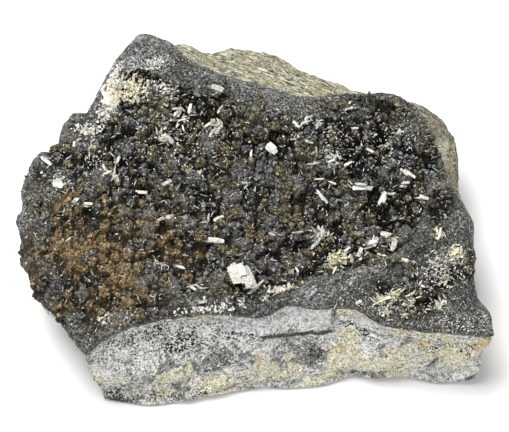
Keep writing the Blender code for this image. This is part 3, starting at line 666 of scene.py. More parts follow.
grain_group = build_grain_group()
speck_group = build_speck_group()
print("shader groups:", grain_group.name, "and", speck_group.name)


# %% Helpers of the materials
def group_node(tree, group, **inputs):
    """The outputs of a shader group in a material, its inputs given as values or as other nodes' outputs."""
    return add_node(tree, "ShaderNodeGroup", {"node_tree": group}, **inputs).outputs


def specks(tree, scale, amount):
    """The mask of hard-edged specks: the scale is their fineness, and the amount a number or a field."""
    return group_node(tree, speck_group, Scale=scale, Amount=amount)["Mask"]


def blank_material(name):
    """A material whose tree holds only its shader and output, and the shader itself."""
    material = bpy.data.materials.new(name)
    material.use_nodes = True
    tree = material.node_tree
    return material, tree, tree.nodes["Principled BSDF"]


def give_finish(tree, shader, colour, normal, roughness, glint):
    """The material's last step: what feeds the shader's colour, normal and roughness, and its specular level."""
    tree.links.new(colour, shader.inputs["Base Color"])
    tree.links.new(normal, shader.inputs["Normal"])
    feed(tree, shader.inputs["Roughness"], roughness)
    shader.inputs["Specular IOR Level"].default_value = glint


def field(tree, name):
    """The number stored at the surface's own points under this name."""
    return add_node(tree, "ShaderNodeAttribute", {"attribute_name": name}).outputs["Fac"]


def share_of(tree, value, share):
    """A value times a share of it, held between 0 and 1."""
    return math_node(tree, "MULTIPLY", value, share, clamp=True)


grain_inputs = [item.name for item in grain_group.interface.items_tree if item.in_out == "INPUT"]
print("what a material sets on", grain_group.name + ":", ", ".join(grain_inputs))

# %% [markdown]
# ## Finishes of the three layers
#
# Galena breaks into tiny cubes, so its surface is dark lead grey with a metallic glint from each grain, and
# paler where painted sheen lies on its smooth knob, ridge and bands. The host rock is pale and dry, salted with
# black grains, and goes buff where iron has stained it; behind the galena it is cream and olive in streaks. The
# crust's ground is grey to olive on its granules and rusty in the basin, with painted shade that turns its seams
# black.


# %% Finish of the galena
def curded(tree, ground, grain):
    """The ground under its coat of cream curd, which covers it where slow noise is high."""
    coat = specks(tree, 1000.0, math_node(tree, "MULTIPLY", field(tree, "cream"), 1.6))
    curd = mixed(tree, grain["Clouds"], (0.70, 0.64, 0.44), (0.92, 0.91, 0.84))
    return mixed(tree, share_of(tree, coat, 0.92), ground, curd)


def crust_colour(tree, grain):
    """Ground colour of the crust: each clot's tone and the grains' tone, from grey galena over olive to rust,
    with painted shade that turns the gaps black, and dusted white in places."""
    even = math_node(tree, "ADD", share_of(tree, field(tree, "tone"), 0.45), share_of(tree, grain["Tone"], 0.6))
    tone = math_node(tree, "POWER", even, 1.8)
    olive = mixed(tree, tone, (0.008, 0.008, 0.005), (0.28, 0.26, 0.17))
    grey = mixed(tree, tone, (0.014, 0.014, 0.015), (0.29, 0.29, 0.28))
    rusty = mixed(tree, tone, (0.080, 0.055, 0.024), (0.66, 0.47, 0.25))
    plain = mixed(tree, field(tree, "grey"), olive, grey)
    ground = mixed(tree, field(tree, "rust"), plain, rusty)
    sugar = specks(tree, 3000.0, field(tree, "dust"))
    dusted = mixed(tree, share_of(tree, sugar, 0.9), ground, (0.62, 0.62, 0.56))
    # Painted shade: the gap field blackens the seams and the sunk pits, where shade falls.
    gap_shaded = mixed(tree, share_of(tree, field(tree, "gap"), 0.97), dusted, (0.002, 0.002, 0.0015))
    return curded(tree, gap_shaded, grain)


def streaks(tree, scale, turn):
    """Noise drawn out along a heading in degrees and bent by its own distortion: object coordinates turned
    back by the heading, and five times as coarse along as across."""
    place = tree.nodes.new("ShaderNodeTexCoord").outputs["Object"]
    turned = add_node(tree, "ShaderNodeMapping", {"vector_type": "TEXTURE"}, Vector=place)
    turned.inputs["Rotation"].default_value = (0, 0, math.radians(turn))
    turned.inputs["Scale"].default_value = (5, 1, 1)
    return add_node(
        tree, "ShaderNodeTexNoise", None, Vector=turned.outputs[0], Scale=scale, Detail=3.0, Distortion=0.7
    ).outputs[0]


def galena_material():
    """Lead grey by each grain's tone, paler in drawn-out streaks where painted sheen lies along striations on its
    smooth knob, ridge, bands and lobe top, with pale specks, and under the crust's colour where the crust has
    spread over it. The palest grains are the smoothest."""
    material, tree, shader = blank_material("galena")
    grain = group_node(tree, grain_group, Grain_Scale=3100.0, Cloud_Scale=300.0, Bump_Strength=0.8)
    tone = math_node(tree, "POWER", grain["Tone"], 1.9)
    dark = mixed(tree, tone, (0.014, 0.014, 0.0125), (0.25, 0.25, 0.225))
    # Painted highlight: where the sheen patches and the drawn streaks meet, the galena turns paler, as light catching
    # its smooth surfaces.
    sheen = mixed(tree, tone, (0.09, 0.09, 0.087), (0.56, 0.56, 0.54))
    drawn = stretched(tree, streaks(tree, 1200.0, 26.0), 0.44, 0.55)
    sheened = mixed(tree, math_node(tree, "MULTIPLY", field(tree, "sheen"), drawn, clamp=True), dark, sheen)
    cloudy = mixed(tree, share_of(tree, grain["Clouds"], 0.4), sheened, (0.040, 0.040, 0.037))
    sparse = share_of(tree, specks(tree, 2600.0, 0.33), 0.8)
    sugar = share_of(tree, specks(tree, 2400.0, field(tree, "dust")), 0.9)
    pale = curded(tree, mixed(tree, math_node(tree, "MAXIMUM", sparse, sugar), cloudy, (0.66, 0.66, 0.62)), grain)
    ground = mixed(tree, field(tree, "crusty"), pale, crust_colour(tree, grain))
    give_finish(tree, shader, ground, grain["Normal"], stretched(tree, grain["Tone"], 1.2, -0.4), 0.3)
    shader.inputs["Metallic"].default_value = 0.2
    return material


galena_finish = galena_material()
print("nodes in the galena's finish:", len(galena_finish.node_tree.nodes))


# %% Finish of the host rock
def broken_up(tree, value, clouds, low, high):
    """A patch's strength with slow clouds added, cut off between two levels, so that its border is ragged and
    islands of it lie outside."""
    push = math_node(tree, "MULTIPLY", math_node(tree, "SUBTRACT", clouds, 0.5), 0.9)
    held = math_node(tree, "MULTIPLY", push, stretched(tree, value, 0.0, 0.15))
    return stretched(tree, math_node(tree, "ADD", value, held), low, high)


def host_rock_material():
    """One colour after another is laid over the pale rock by the fields of the wall: grey, which also paints shade
    along the middle and under the lens, bright, buff, rust, the olive streaks behind, salt and pepper, and last
    the black of cracks and seams, which under the lens is partly painted shadow."""
    material, tree, shader = blank_material("pale_rock")
    grain = group_node(tree, grain_group, Grain_Scale=2900.0, Cloud_Scale=300.0, Bump_Strength=1.0)
    mottle = group_node(tree, grain_group, Grain_Scale=1500.0, Cloud_Scale=620.0, Bump_Strength=0.5)
    tone = math_node(tree, "ADD", share_of(tree, grain["Tone"], 0.75), share_of(tree, mottle["Tone"], 0.25))

    def patch_of(name, clouds, low, high):
        """A field of the mesh with its border broken up."""
        return broken_up(tree, field(tree, name), clouds, low, high)

    pale = mixed(tree, tone, (0.09, 0.09, 0.082), (0.96, 0.96, 0.91))
    grey = mixed(tree, tone, (0.04, 0.04, 0.037), (0.37, 0.37, 0.345))
    # The grey patches include painted shade along the middle, under the lens and at the left edge.
    cloudy = mixed(tree, patch_of("grey", mottle["Clouds"], 0.2, 0.7), pale, grey)
    bright = mixed(tree, tone, (0.34, 0.34, 0.33), (1.0, 1.0, 0.98))
    lit = mixed(tree, patch_of("bright", mottle["Clouds"], 0.1, 0.9), cloudy, bright)
    cream = mixed(tree, tone, (0.25, 0.225, 0.12), (0.99, 0.95, 0.72))
    milky = mixed(tree, tone, (0.22, 0.215, 0.17), (1.0, 0.99, 0.93))
    buff = mixed(tree, share_of(tree, mottle["Clouds"], 0.4), cream, milky)
    stained = mixed(tree, patch_of("buff", grain["Clouds"], 0.2, 0.55), lit, buff)
    rust = mixed(tree, tone, (0.26, 0.16, 0.06), (0.80, 0.62, 0.34))
    rusty = mixed(tree, share_of(tree, patch_of("rust", grain["Clouds"], 0.2, 0.8), 0.7), stained, rust)
    fine_streaks = stretched(tree, streaks(tree, 2500.0, -22.0), 0.40, 0.60)
    broad_streaks = stretched(tree, streaks(tree, 900.0, -18.0), 0.44, 0.62)
    olive = mixed(tree, fine_streaks, (0.045, 0.042, 0.025), (0.70, 0.67, 0.52))
    shade = mixed(tree, tone, (0.035, 0.033, 0.018), (0.50, 0.48, 0.34))
    shaded = mixed(tree, share_of(tree, broad_streaks, 0.75), olive, shade)
    darkest = mixed(tree, tone, (0.028, 0.028, 0.018), (0.27, 0.26, 0.18))
    deep = mixed(tree, share_of(tree, field(tree, "deep"), 0.8), shaded, darkest)
    ochre = mixed(tree, tone, (0.10, 0.075, 0.025), (0.62, 0.52, 0.28))
    iron = mixed(tree, share_of(tree, stretched(tree, grain["Clouds"], 0.5, 1.0), 0.35), deep, ochre)
    behind = mixed(tree, share_of(tree, field(tree, "olive"), 0.95), rusty, iron)
    pepper = specks(tree, 2500.0, field(tree, "pepper"))
    salt = specks(tree, 2300.0, math_node(tree, "SUBTRACT", 0.42, share_of(tree, field(tree, "olive"), 0.25)))
    salted = mixed(tree, share_of(tree, salt, 0.8), behind, (0.96, 0.96, 0.94))
    specked = mixed(tree, share_of(tree, pepper, 0.97), salted, (0.008, 0.008, 0.008))
    black = mixed(tree, tone, (0.003, 0.003, 0.003), (0.055, 0.055, 0.052))
    # The black under the lens is partly a dark joint and partly painted shadow of the lens's lip.
    marked = mixed(tree, share_of(tree, patch_of("dark", grain["Tone"], 0.45, 0.65), 0.95), specked, black)
    give_finish(tree, shader, marked, grain["Normal"], 0.82, 0.3)
    return material


rock_finish = host_rock_material()
print("nodes in the host rock's finish:", len(rock_finish.node_tree.nodes))


# %% Finish of the crust
def crust_material():
    """The crust's ground colour with sparse pale specks."""
    material, tree, shader = blank_material("crust")
    grain = group_node(tree, grain_group, Grain_Scale=3000.0, Cloud_Scale=260.0, Bump_Strength=1.0)
    sparse = share_of(tree, specks(tree, 3200.0, 0.4), 0.5)
    specked = mixed(tree, sparse, crust_colour(tree, grain), (0.40, 0.39, 0.33))
    give_finish(tree, shader, specked, grain["Normal"], 0.6, 0.12)
    return material


crust_finish = crust_material()
print("nodes in the crust's finish:", len(crust_finish.node_tree.nodes))

# %% [markdown]
# ## The host rock
#
# The pale rock shows as a broken wall along the front and as a bright rim behind the galena. Its skin is a
# stack of rings that runs up from the flat it rests on, over the foot and the wall to the shoulder, and in over
# the rim to the galena's edge. The wall's named forms make the lens and the groove under it, flat chips and
# folds of several sizes break it up, and streaks run along the rim.

# %% Forms of the wall
WALL_FORMS = [
    ("lens", 8.0, 16.0, 7.6, 4.6, 2, 0.5), ("left ledge", -19.0, 8.5, 9.0, 3.4, 6, 0.9),
    ("hollow at the left corner", -26.5, 3.5, 4.0, 3.6, 30, -1.3), ("right hollow", 30.5, 10.0, 7.0, 3.6, -12, -0.9),
    ("buff swell", 20.0, 6.0, 7.0, 3.2, 10, 0.8), ("left corner recess", -34.0, 8.0, 4.5, 5.0, 0, -1.5),
    ("right corner recess", 44.0, 8.6, 3.0, 3.4, 0, -2.2),
]
FINE_WALL_FORMS = [
    ("crack", 14.8, 16.4, 0.4, 2.0, 4, -1.3), ("second line", 23.0, 14.4, 4.0, 0.35, 14, -0.7),
    ("slanting crack", -14.0, 6.0, 0.4, 5.0, -24, -0.8), ("second slanting crack", -18.6, 5.0, 0.35, 4.0, -18, -0.6),
    ("speckled pit", 11.2, 7.1, 1.4, 1.5, 0, -0.8), ("notch", 19.0, 1.8, 5.0, 0.8, 4, -0.9),
    ("low ledge", 2.0, 3.2, 9.0, 0.9, 3, 0.6), ("corner knob", 40.4, 3.2, 1.9, 2.4, 0, 0.8),
    ("second knob", 37.4, 2.2, 1.4, 1.2, 0, 0.6), ("third knob", 42.6, 5.4, 1.1, 1.2, 0, 0.5),
    ("right crease", 33.4, 5.2, 0.5, 3.0, -20, -0.8),
]
CHIP_SIZES = ((11.0, 1.1), (5.0, 0.55))
CHIP_SEED = 5
LENS_MIDDLE, LENS_HALF = 7.8, 6.8
JOINT_POINT, JOINT_NORMAL = np.array([7.8, -26.2, 12.9]), np.array([-0.10, 0.866, 0.5])
print("named forms on the wall:", len(WALL_FORMS) + len(FINE_WALL_FORMS))

# %% [markdown]
# The wall's colours lie in patches too, given by their place along the wall and their height on it. They are
# cream and orange where iron has stained the rock, grey and black where sulphide grains are in it, and white
# where a fresh break shows. Painted shade darkens a band along the middle, the wall under the lens and the left
# edge, and the black line under the lens is partly painted shadow of its lip.

# %% Patches on the wall
BUFF = [
    ("cream over the foot", -1.9, 3.5, 7.8, 2.8, 6, 1.0), ("cream under the lens", 2.7, 7.0, 3.0, 1.7, 10, 1.0),
    ("cream drop", 0.4, 9.4, 0.7, 2.4, 0, 0.9), ("pale left corner", -29.6, 8.2, 3.6, 1.6, 16, 0.75),
    ("pale streak", -20.0, 7.2, 9.0, 1.3, 4, 0.8), ("yellow at the foot", -19.8, 3.0, 3.4, 1.6, 0, 1.0),
    ("warm cream", 17.3, 6.5, 4.2, 3.4, 0, 1.0), ("cream tooth", 18.0, 11.0, 2.2, 1.9, -20, 1.0),
    ("pale cream", 25.5, 6.0, 4.8, 4.2, 0, 1.0), ("buff under the edge", 28.6, 15.4, 3.8, 1.7, 0, 1.0),
    ("large buff", 36.2, 10.8, 7.4, 4.8, -8, 1.0), ("right tip", 42.8, 13.3, 2.6, 2.2, 0, 1.0),
    ("cream at the foot", 7.8, 3.4, 1.5, 1.9, 0, 1.0), ("foot buff", 10.6, 1.3, 3.6, 1.2, 0, 1.0),
    ("cream edge", -9.0, 18.4, 9.0, 0.8, 2, 0.7), ("cream right of the lens", 18.4, 17.4, 3.0, 1.2, 0, 0.6),
]
RUST_ON_WALL = [
    ("orange in the cream", 17.0, 8.0, 3.6, 2.0, 0, 0.55), ("right tip", 42.8, 13.3, 2.4, 2.0, 0, 0.9),
    ("large buff's middle", 34.6, 11.4, 5.6, 2.6, -6, 0.5), ("drop", 0.4, 9.4, 0.6, 2.0, 0, 0.4),
    ("orange at the foot", -3.6, 2.6, 2.0, 0.8, 0, 0.5), ("foot's orange", 10.6, 1.2, 3.0, 0.8, 0, 0.4),
]
# Grey patches, and painted shade where shade falls: 'shade along the middle', 'grey under the lens' and 'left edge's
# shade'.
GREY_AND_SHADE_ON_WALL = [
    ("grey zone", -5.9, 9.3, 8.4, 2.8, 4, 1.1), ("shade along the middle", -12.0, 8.8, 17.0, 2.6, 0, 0.62),
    ("grey under the lens", 8.0, 8.8, 5.2, 4.4, 0, 1.1),
    ("grey foot at the left", -25.4, 4.2, 4.0, 1.6, 0, 0.25), ("dark grey foot", -13.5, 3.2, 3.0, 2.6, 0, 1.0),
    ("grey in the cream", 19.9, 6.4, 1.8, 1.1, 0, 1.0), ("grey streak", 23.9, 10.8, 1.0, 2.2, 0, 1.0),
    ("second grey streak", 28.9, 12.4, 1.1, 3.2, -20, 0.9), ("left edge's shade", -31.6, 12.0, 0.9, 4.0, -10, 0.5),
    ("blue foot", 19.4, 1.2, 5.4, 0.9, 0, 0.9), ("grey by the crack", 20.6, 13.8, 3.4, 1.0, -10, 0.5),
]
DARK_ON_WALL = [
    ("left corner band", -31.0, 3.4, 0.8, 3.0, 12, 0.8), ("left foot band", -25.6, 0.7, 3.0, 0.5, 0, 0.5),
    ("dark blotches", -5.6, 2.4, 2.2, 0.6, 0, 0.7), ("crack", 14.8, 16.4, 0.32, 1.9, 5, 1.0),
    ("ring at the right", 33.4, 5.2, 0.8, 2.6, -24, 0.7), ("dark at the right foot", 41.0, 2.0, 1.6, 1.2, 0, 0.5),
]
BRIGHT = [
    ("lens", 8.0, 16.2, 7.4, 3.4, 2, 1.0), ("right of the lens", 18.6, 16.4, 3.8, 2.6, 0, 0.8),
    ("upper wall on the left", -18.0, 16.2, 13.0, 2.4, 0, 0.6), ("to the lens", -2.0, 16.6, 6.0, 1.6, 0, 0.7),
    ("left of the middle", -13.0, 14.8, 4.0, 1.4, 0, 0.7), ("pale left corner", -30.0, 8.7, 2.6, 1.6, 20, 0.9),
    ("right foot", 38.8, 3.6, 3.8, 3.6, 0, 1.25),
]
PEPPER = [
    ("pepper on the upper wall", -17.0, 14.6, 15.0, 4.0, 0, 0.6), ("dense pepper", -19.0, 12.8, 7.6, 1.6, 0, 1.0),
    ("pepper to the lens", -2.6, 14.2, 5.6, 1.2, 3, 1.0), ("pepper by the lens", 21.4, 13.4, 3.0, 1.2, -10, 0.55),
    ("pit", 11.2, 7.8, 1.5, 1.8, 0, 1.0), ("specks right of the lens", 17.6, 14.6, 2.4, 0.8, 10, 0.9),
    ("pepper on the buff", 36.0, 11.0, 6.4, 4.4, 0, 0.4),
    ("pepper at the right foot", 38.8, 3.6, 3.6, 3.6, 0, 0.6), ("foot pepper", -12.0, 2.4, 18.0, 1.6, 4, 0.6),
    ("pepper in the grey", -5.0, 8.8, 7.0, 2.6, 6, 0.55), ("left foot's pepper", -25.0, 1.4, 5.0, 1.4, 0, 0.8),
]
print("patches on the wall:", sum(map(len, (BUFF, RUST_ON_WALL, GREY_AND_SHADE_ON_WALL, DARK_ON_WALL, BRIGHT, PEPPER))))

# %% Rings of the host rock
FLAT_SHARE, FLAT_RINGS, FLAT_STEP = 0.8, 4, 0.04
FRONT_FOOT_LIFT, FOOT_LIFT, WALL_SWELL = 0.35, 2.0, 0.7
WALL_RINGS, RIM_RINGS, SHOULDER_ROUNDS = 66, 22, 24
OUTLINE_ROUNDS = 60
SUNK_SHARE, SUNK_TOP = 0.92, 14.0


def foot_ring(foot):
    """The foot nearly touches the ground along the front, and stands clear of it at the sides and back."""
    depth = (foot[:, 1] - foot[:, 1].min()) / np.ptp(foot[:, 1])
    lift = FRONT_FOOT_LIFT + (FOOT_LIFT - FRONT_FOOT_LIFT) * np.clip(2.2 * depth, 0, 1)
    uneven = 0.5 * swelling(with_height(foot, 0.0), 9.0, CHIP_SEED) * np.clip(3 * depth, 0, 1)
    return with_height(foot, lift + uneven)


def sunk(loop, share, height):
    """The loop drawn in about its middle to this share of its size, and level. A scaled copy never crosses
    itself, so it can be filled, and what fills it lies hidden in the rock."""
    middle = loop[:, :2].mean(axis=0)
    return with_height(middle + (loop[:, :2] - middle) * share, height)


def host_rock_rings(loop):
    """Rings from the resting flat up the wall and in over the rim. Between foot and shoulder a ring lies a
    share of the way up and swells outwards by the sine of that share."""
    edge, shoulder, foot = loop[:, :3], loop[:, 3:6], loop[:, 6:8]
    ground = foot_ring(foot)
    flat = [sunk(foot, FLAT_SHARE + step * FLAT_STEP, 0.0) for step in range(FLAT_RINGS)]
    away = outward(eased(foot, OUTLINE_ROUNDS))
    wall = []
    for share in np.linspace(0, 1, WALL_RINGS):
        ring = ground + (shoulder - ground) * share
        ring[:, :2] += away * WALL_SWELL * math.sin(math.pi * share)
        wall.append(ring)
    rim = [shoulder + (edge - shoulder) * share for share in np.linspace(0, 1, RIM_RINGS)[1:]]
    sheet = np.array([*wall, *rim])
    for _ in range(SHOULDER_ROUNDS):
        sheet[1:-1] = sheet[1:-1] / 2 + (sheet[:-2] + sheet[2:]) / 4
    tucked = edge + (0, 0, -0.6)
    tucked[:, :2] -= outward(eased(edge, OUTLINE_ROUNDS)) * 1.6
    return np.array([*flat, *sheet, tucked, sunk(edge, SUNK_SHARE, SUNK_TOP - 0.4)])


wall_stack = host_rock_rings(fine_loop)
print("rings of the host rock:", len(wall_stack), "with", wall_stack.shape[1], "points each")


# %% Relief of the wall
def chips(points, spacing, seed):
    """Flat broken facets: packed cells, each cut back by its own random amount, with steps between them."""
    near, far, own = cells(points, spacing, seed)
    return (own - 0.5) * np.clip((far - near) * 5, 0, 1)


def over_the_joint(points):
    """The lens ends below at a joint, a plane through JOINT_POINT with a jagged surface. Given are how far each
    point lies over it, in millimetres, and how near it is to the middle of the lens, from 0 to 1."""
    x = points[..., 0]
    jagged = roughness(on_level(x, np.zeros_like(x)), ((1.7, 0.2), (0.7, 0.16)), 53)
    over = (points - JOINT_POINT) @ JOINT_NORMAL - jagged
    return over, np.clip((1.1 - np.abs(x - LENS_MIDDLE) / LENS_HALF) * 5, 0, 1)


def wall_relief(points):
    """The wall's unevenness from lumps down to grains, the named forms on the front, and ledges behind."""
    in_front = np.clip((-points[..., 1] - 17) / 3, 0, 1)
    behind = np.clip((points[..., 1] - 8) / 6, 0, 1)
    over, middle = over_the_joint(points)
    forms = sum(swell_of(points[..., 0], points[..., 2], form) for form in WALL_FORMS[1:] + FINE_WALL_FORMS)
    forms = forms + swell_of(points[..., 0], points[..., 2], WALL_FORMS[0]) * np.clip(over / 0.6 + 0.5, 0, 1)
    forms = forms - 0.3 * middle * np.exp(-((over / 0.25) ** 2))
    coarse = roughness(points, CHIP_SIZES, CHIP_SEED)
    low = np.clip((11 - points[..., 2]) / 6, 0.35, 1)
    folded = -np.abs(roughness(points, ((2.6, 0.9), (1.2, 0.5)), 41)) * 0.6
    broken = 0.7 * chips(points, 2.6, 43) + 0.4 * chips(points, 1.1, 45)
    along = bent(points, 1.1, 3.4, 55) @ np.array([[0.34, 0, 0], [0.16, 1, 0], [0, 0, 1]]).T
    ledges = -np.abs(roughness(along, ((2.3, 1.0), (1.0, 0.4)), 51)) * 0.5
    fine = roughness(points, ((0.8, 0.10), (0.45, 0.06)), 47)
    flank = (1 - in_front) * np.clip((15 - points[..., 2]) / 4, 0, 1)
    facets = 1.6 * chips(points, 7.0, 44) + 0.9 * chips(points, 3.6, 46)
    return coarse + in_front * forms + low * (folded + broken) + behind * ledges + flank * facets + fine


wall_rough = wall_relief(wall_stack)
print("relief of the wall in millimetres:", round(wall_rough.min(), 1), "to", round(wall_rough.max(), 1))


# %% Host rock skin
def wall_fields(points):
    """The numbers that colour the rock: the named patches on the front, slow noise at the sides, and the streaked
    stain behind, which fades in with height and has a ragged lower border."""
    x, y, z = points.T
    front = np.clip((-y - 12) / 6, 0, 1)
    side = 1 - front
    ragged = 0.6 * roughness(points, ((6.0, 1.0), (2.5, 0.6)), 57)
    behind = np.clip(np.maximum((y - 8) / 6, np.minimum((x - 34) / 3, (y + 20) / 6)), 0, 1)
    behind = behind * np.clip((z - 7) / 4 + ragged, 0, 1)
    over, middle = over_the_joint(points)
    # Painted shadow: the black line along the joint under the lens is partly a dark joint and partly the shadow of
    # the lens's lip.
    crack = middle * np.clip(1.5 - np.abs(over) / 0.34, 0, 1)
    buff = patches(x, z, BUFF, 0.6) * front + side * (0.25 + 1.1 * swelling(points, 9.0, 58))
    grey = patches(x, z, GREY_AND_SHADE_ON_WALL, 0.6, 39) * front + side * (0.4 + swelling(points, 7.0, 59))
    pepper = 0.12 + patches(x, z, PEPPER, 0.5, 35) * front + 0.1 * behind + 0.3 * side * ragged
    return {
        "buff": np.clip(buff, 0, 1),
        "rust": patches(x, z, RUST_ON_WALL, 0.7, 37) * front,
        "grey": np.clip(grey, 0, 1),
        "pepper": np.clip(pepper, 0, 1),
        "dark": np.maximum(patches(x, z, DARK_ON_WALL, 0.5, 45), crack) * front,
        "bright": patches(x, z, BRIGHT, 0.6, 41) * front,
        "olive": behind,
        "deep": np.clip((x - 26) / 8, 0, 1) * behind,
    }


def build_host_rock():
    """The rings raised by the wall's relief. It grows from nothing over a few rings above the flat, fades out
    where the rim runs under the galena, and never reaches below the ground."""
    growth, fade = np.linspace(0, 1, 6), (0.8, 0.5, 0.2, 0, 0)
    amount = np.ones(len(wall_stack))
    amount[:FLAT_RINGS] = 0
    amount[FLAT_RINGS:FLAT_RINGS + len(growth)] = growth
    amount[-len(fade):] = fade
    rings = raised(wall_stack, wall_rough, amount)
    rings[..., 2] = np.maximum(rings[..., 2], 0)
    points = rings.reshape(-1, 3)
    fields = wall_fields(points)
    piece = add_piece("host_rock_skin", points, closed_stack(rings), rock_finish, fields=fields)
    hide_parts("host_rock")


build_host_rock()

# %% [markdown]
# ## Granules and nodules
#
# The crust is a mass of granules near a millimetre across, packed with deep gaps between, which painted shade
# turns black. Here and there a larger and smoother nodule stands out of it. One function gives the relief of
# this ground, and it serves the crust and also those parts of the galena that the crust has spread over.

# %% Granular ground
NODULES = [
    (-29.6, 1.1, 1.9), (-2.7, 4.1, 1.7), (-24.5, 7.3, 1.3), (-8.6, 9.1, 2.3), (-15.8, 5, 1.5),
    (-19.7, -5.6, 2.1), (-24.2, -8.9, 1.3), (-20.5, -9, 1.5), (-34.6, -16.6, 1.3), (-32.7, -22.1, 1.5),
    (-24.2, -13.7, 1.3), (-21.9, -20.5, 1.7), (-15.6, -21.1, 1.9), (-7.5, -20, 2.5), (-10.5, -23.2, 1.7),
    (-12.7, -7.6, 1.5), (-2.5, -4.7, 1.3), (-24.4, -5.6, 1.3), (21.4, 13, 0.9), (24.6, 3.4, 1.3),
    (26.4, 5.1, 1.3), (28.3, 2.5, 1.1), (13.3, 4.3, 1.3), (2.8, -7.1, 1.5), (4, -10, 1.9), (17.2, -4.4, 1.5),
    (28.7, -10, 2.7), (-3, -12.1, 1.3), (8.4, 0.5, 1.3), (-14.4, -2.2, 1.5), (-4.9, -1.9, 1.5),
    (-11.6, 2.2, 1.3), (-25.8, -1.7, 1.3), (1.7, -16.7, 1.5), (8.3, -16.4, 1.3),
]
CLOT, LUMP, GRAIN = 2.3, 1.15, 0.6
SIDE_STEEPNESS = 2.2
PIT_FROM = 0.84


def nodule_cover(x, y):
    """How much a point lies on a nodule, from 0 to 1, and the nodule's dome: a half ellipsoid over a disc."""
    x, y = bent(np.column_stack([x, y]), 0.7, 1.1, 75).T
    cover, dome = np.zeros_like(x), np.zeros_like(x)
    for nx, ny, radius in NODULES:
        share = np.hypot(x - nx, y - ny) / radius
        cover = np.maximum(cover, np.clip((1.0 - share) * 4, 0, 1))
        dome = np.maximum(dome, radius * 0.7 * np.sqrt(np.clip(1 - share**2, 0, 1)))
    return cover, dome


def plateaus(points, spacing, seed):
    """Packed cells with flat tops and steep rounded sides, from 0 to 1, each cell's own number, and how far a
    point is from the cell's border. The height is the square root of that distance, held at 1."""
    near, far, own = cells(points, spacing, seed)
    return np.sqrt(np.clip((far - near) * SIDE_STEEPNESS, 0, 1)), own, far - near


def clotted(points):
    """The crust's mass in millimetres: clots, lumps on the clots, and grains on the lumps, with some clots
    missing. With it come each clot's own number, a tone, lower in the pits of the missing clots as painted
    shade, the painted shade that blackens the gaps and pits, from 0 to 1, and the distance to the clot's
    border. The gaps widen and narrow slowly."""
    crooked = bent(points, 0.6, 1.9, 71)
    clot, own, clot_edge = plateaus(crooked, CLOT, 17)
    lump, lump_own, lump_edge = plateaus(crooked, LUMP, 18)
    grain, grain_own, grain_edge = plateaus(points, GRAIN, 19)
    pit = np.clip((own - PIT_FROM) * 14, 0, 1)
    wide = 1 + 0.8 * swelling(on_level(crooked[:, 0], crooked[:, 1]), 4.6, 77)
    clots, smaller = 1.2 * clot * (0.5 + 1.1 * own * (1 - pit)), 0.8 * lump * (0.4 + 1.1 * lump_own)
    relief = clots + smaller + 0.25 * grain * (0.3 + grain_own)
    # Painted shade: gap is the blackness painted into the seams between clots, lumps and grains, and into the pits.
    gap = np.clip((0.27 * wide - clot_edge) / 0.13, 0, 1) + np.clip((0.20 * wide - lump_edge) / 0.12, 0, 1) * 0.85
    gap = gap + 0.3 * np.clip((0.18 - grain_edge) / 0.12, 0, 1) + pit
    tone = 0.3 * own * (1 - pit) + 0.4 * lump_own + 0.3 * grain_own
    return relief - 1.5 - 0.9 * pit, own, tone, np.clip(gap, 0, 1), clot_edge * CLOT / 2


def grey_share(own, rust):
    """Clots whose own number is low are grey galena, and the fewer of them the rustier the place."""
    return np.clip((0.42 - 0.22 * rust - own) * 9, 0, 1)


def mineral_fields(points, own, tone, gap):
    """The numbers that colour granular ground: rust, dust and cream by patches, grey by the clots' own numbers
    and on the nodules."""
    x, y = points[:, 0], points[:, 1]
    cover, _ = nodule_cover(x, y)
    rust = rustiness(x, y)
    grey = np.maximum(grey_share(own, rust), cover)
    # The gap field is painted shade in the seams, weaker on the nodules and in rust; sheen is painted highlight on
    # the galena.
    return {
        "rust": np.clip(rust * (1.3 - 1.0 * grey), 0, 1), "grey": grey, "tone": tone * (1 - cover) + 0.4 * cover,
        "gap": gap * (1 - 0.85 * cover) * (1 - 0.15 * rust), "dust": patches(x, y, DUST, 0.7, 33),
        "sheen": patches(x, y, SHEEN_PATCHES, 0.5, 27), "cream": creaminess(x, y),
    }


nodule_sizes = [radius for *_, radius in NODULES]
print(len(NODULES), "nodules with radii of", min(nodule_sizes), "to", max(nodule_sizes), "millimetres")

# %% [markdown]
# ## The galena layer
#
# The layer's edge is rounded, as a metal sulphide weathers: it bulges out over the rock and turns over in a
# quarter ellipse to the top. The skin's rings run from under the edge, over the bulge and the bare margin to
# the crust, and a little way under it. Sugar-sized grains roughen it.

# %% Rings of the galena
GAP = 0.3
EDGE_BULGE, EDGE_RISE, RIM_WIDTH = 0.9, 1.3, 2.6
EDGE_RINGS, MARGIN_RINGS = 7, 62
HIDDEN_RINGS = ((0.4, 0.5), (2.4, 1.6))


def widest_line(edge, smooth):
    """The layer's widest line, just over and outside its lower edge."""
    plan = edge[:, :2] + outward(eased(edge, smooth)) * EDGE_BULGE
    return with_height(plan, edge[:, 2] + GAP + EDGE_RISE)


COARSE_ROUNDS = 6
coarse_widest = widest_line(coarse_loop[:, :3], COARSE_ROUNDS)


def rimmed_height(plan):
    """The top's height, brought down in a quarter ellipse to the widest line near that line."""
    away, low = nearest_on(coarse_widest, plan)
    share = 1 - np.clip(away / RIM_WIDTH, 0, 1)
    return low + (top_height(*plan.T) - low) * np.sqrt(1 - share**2)


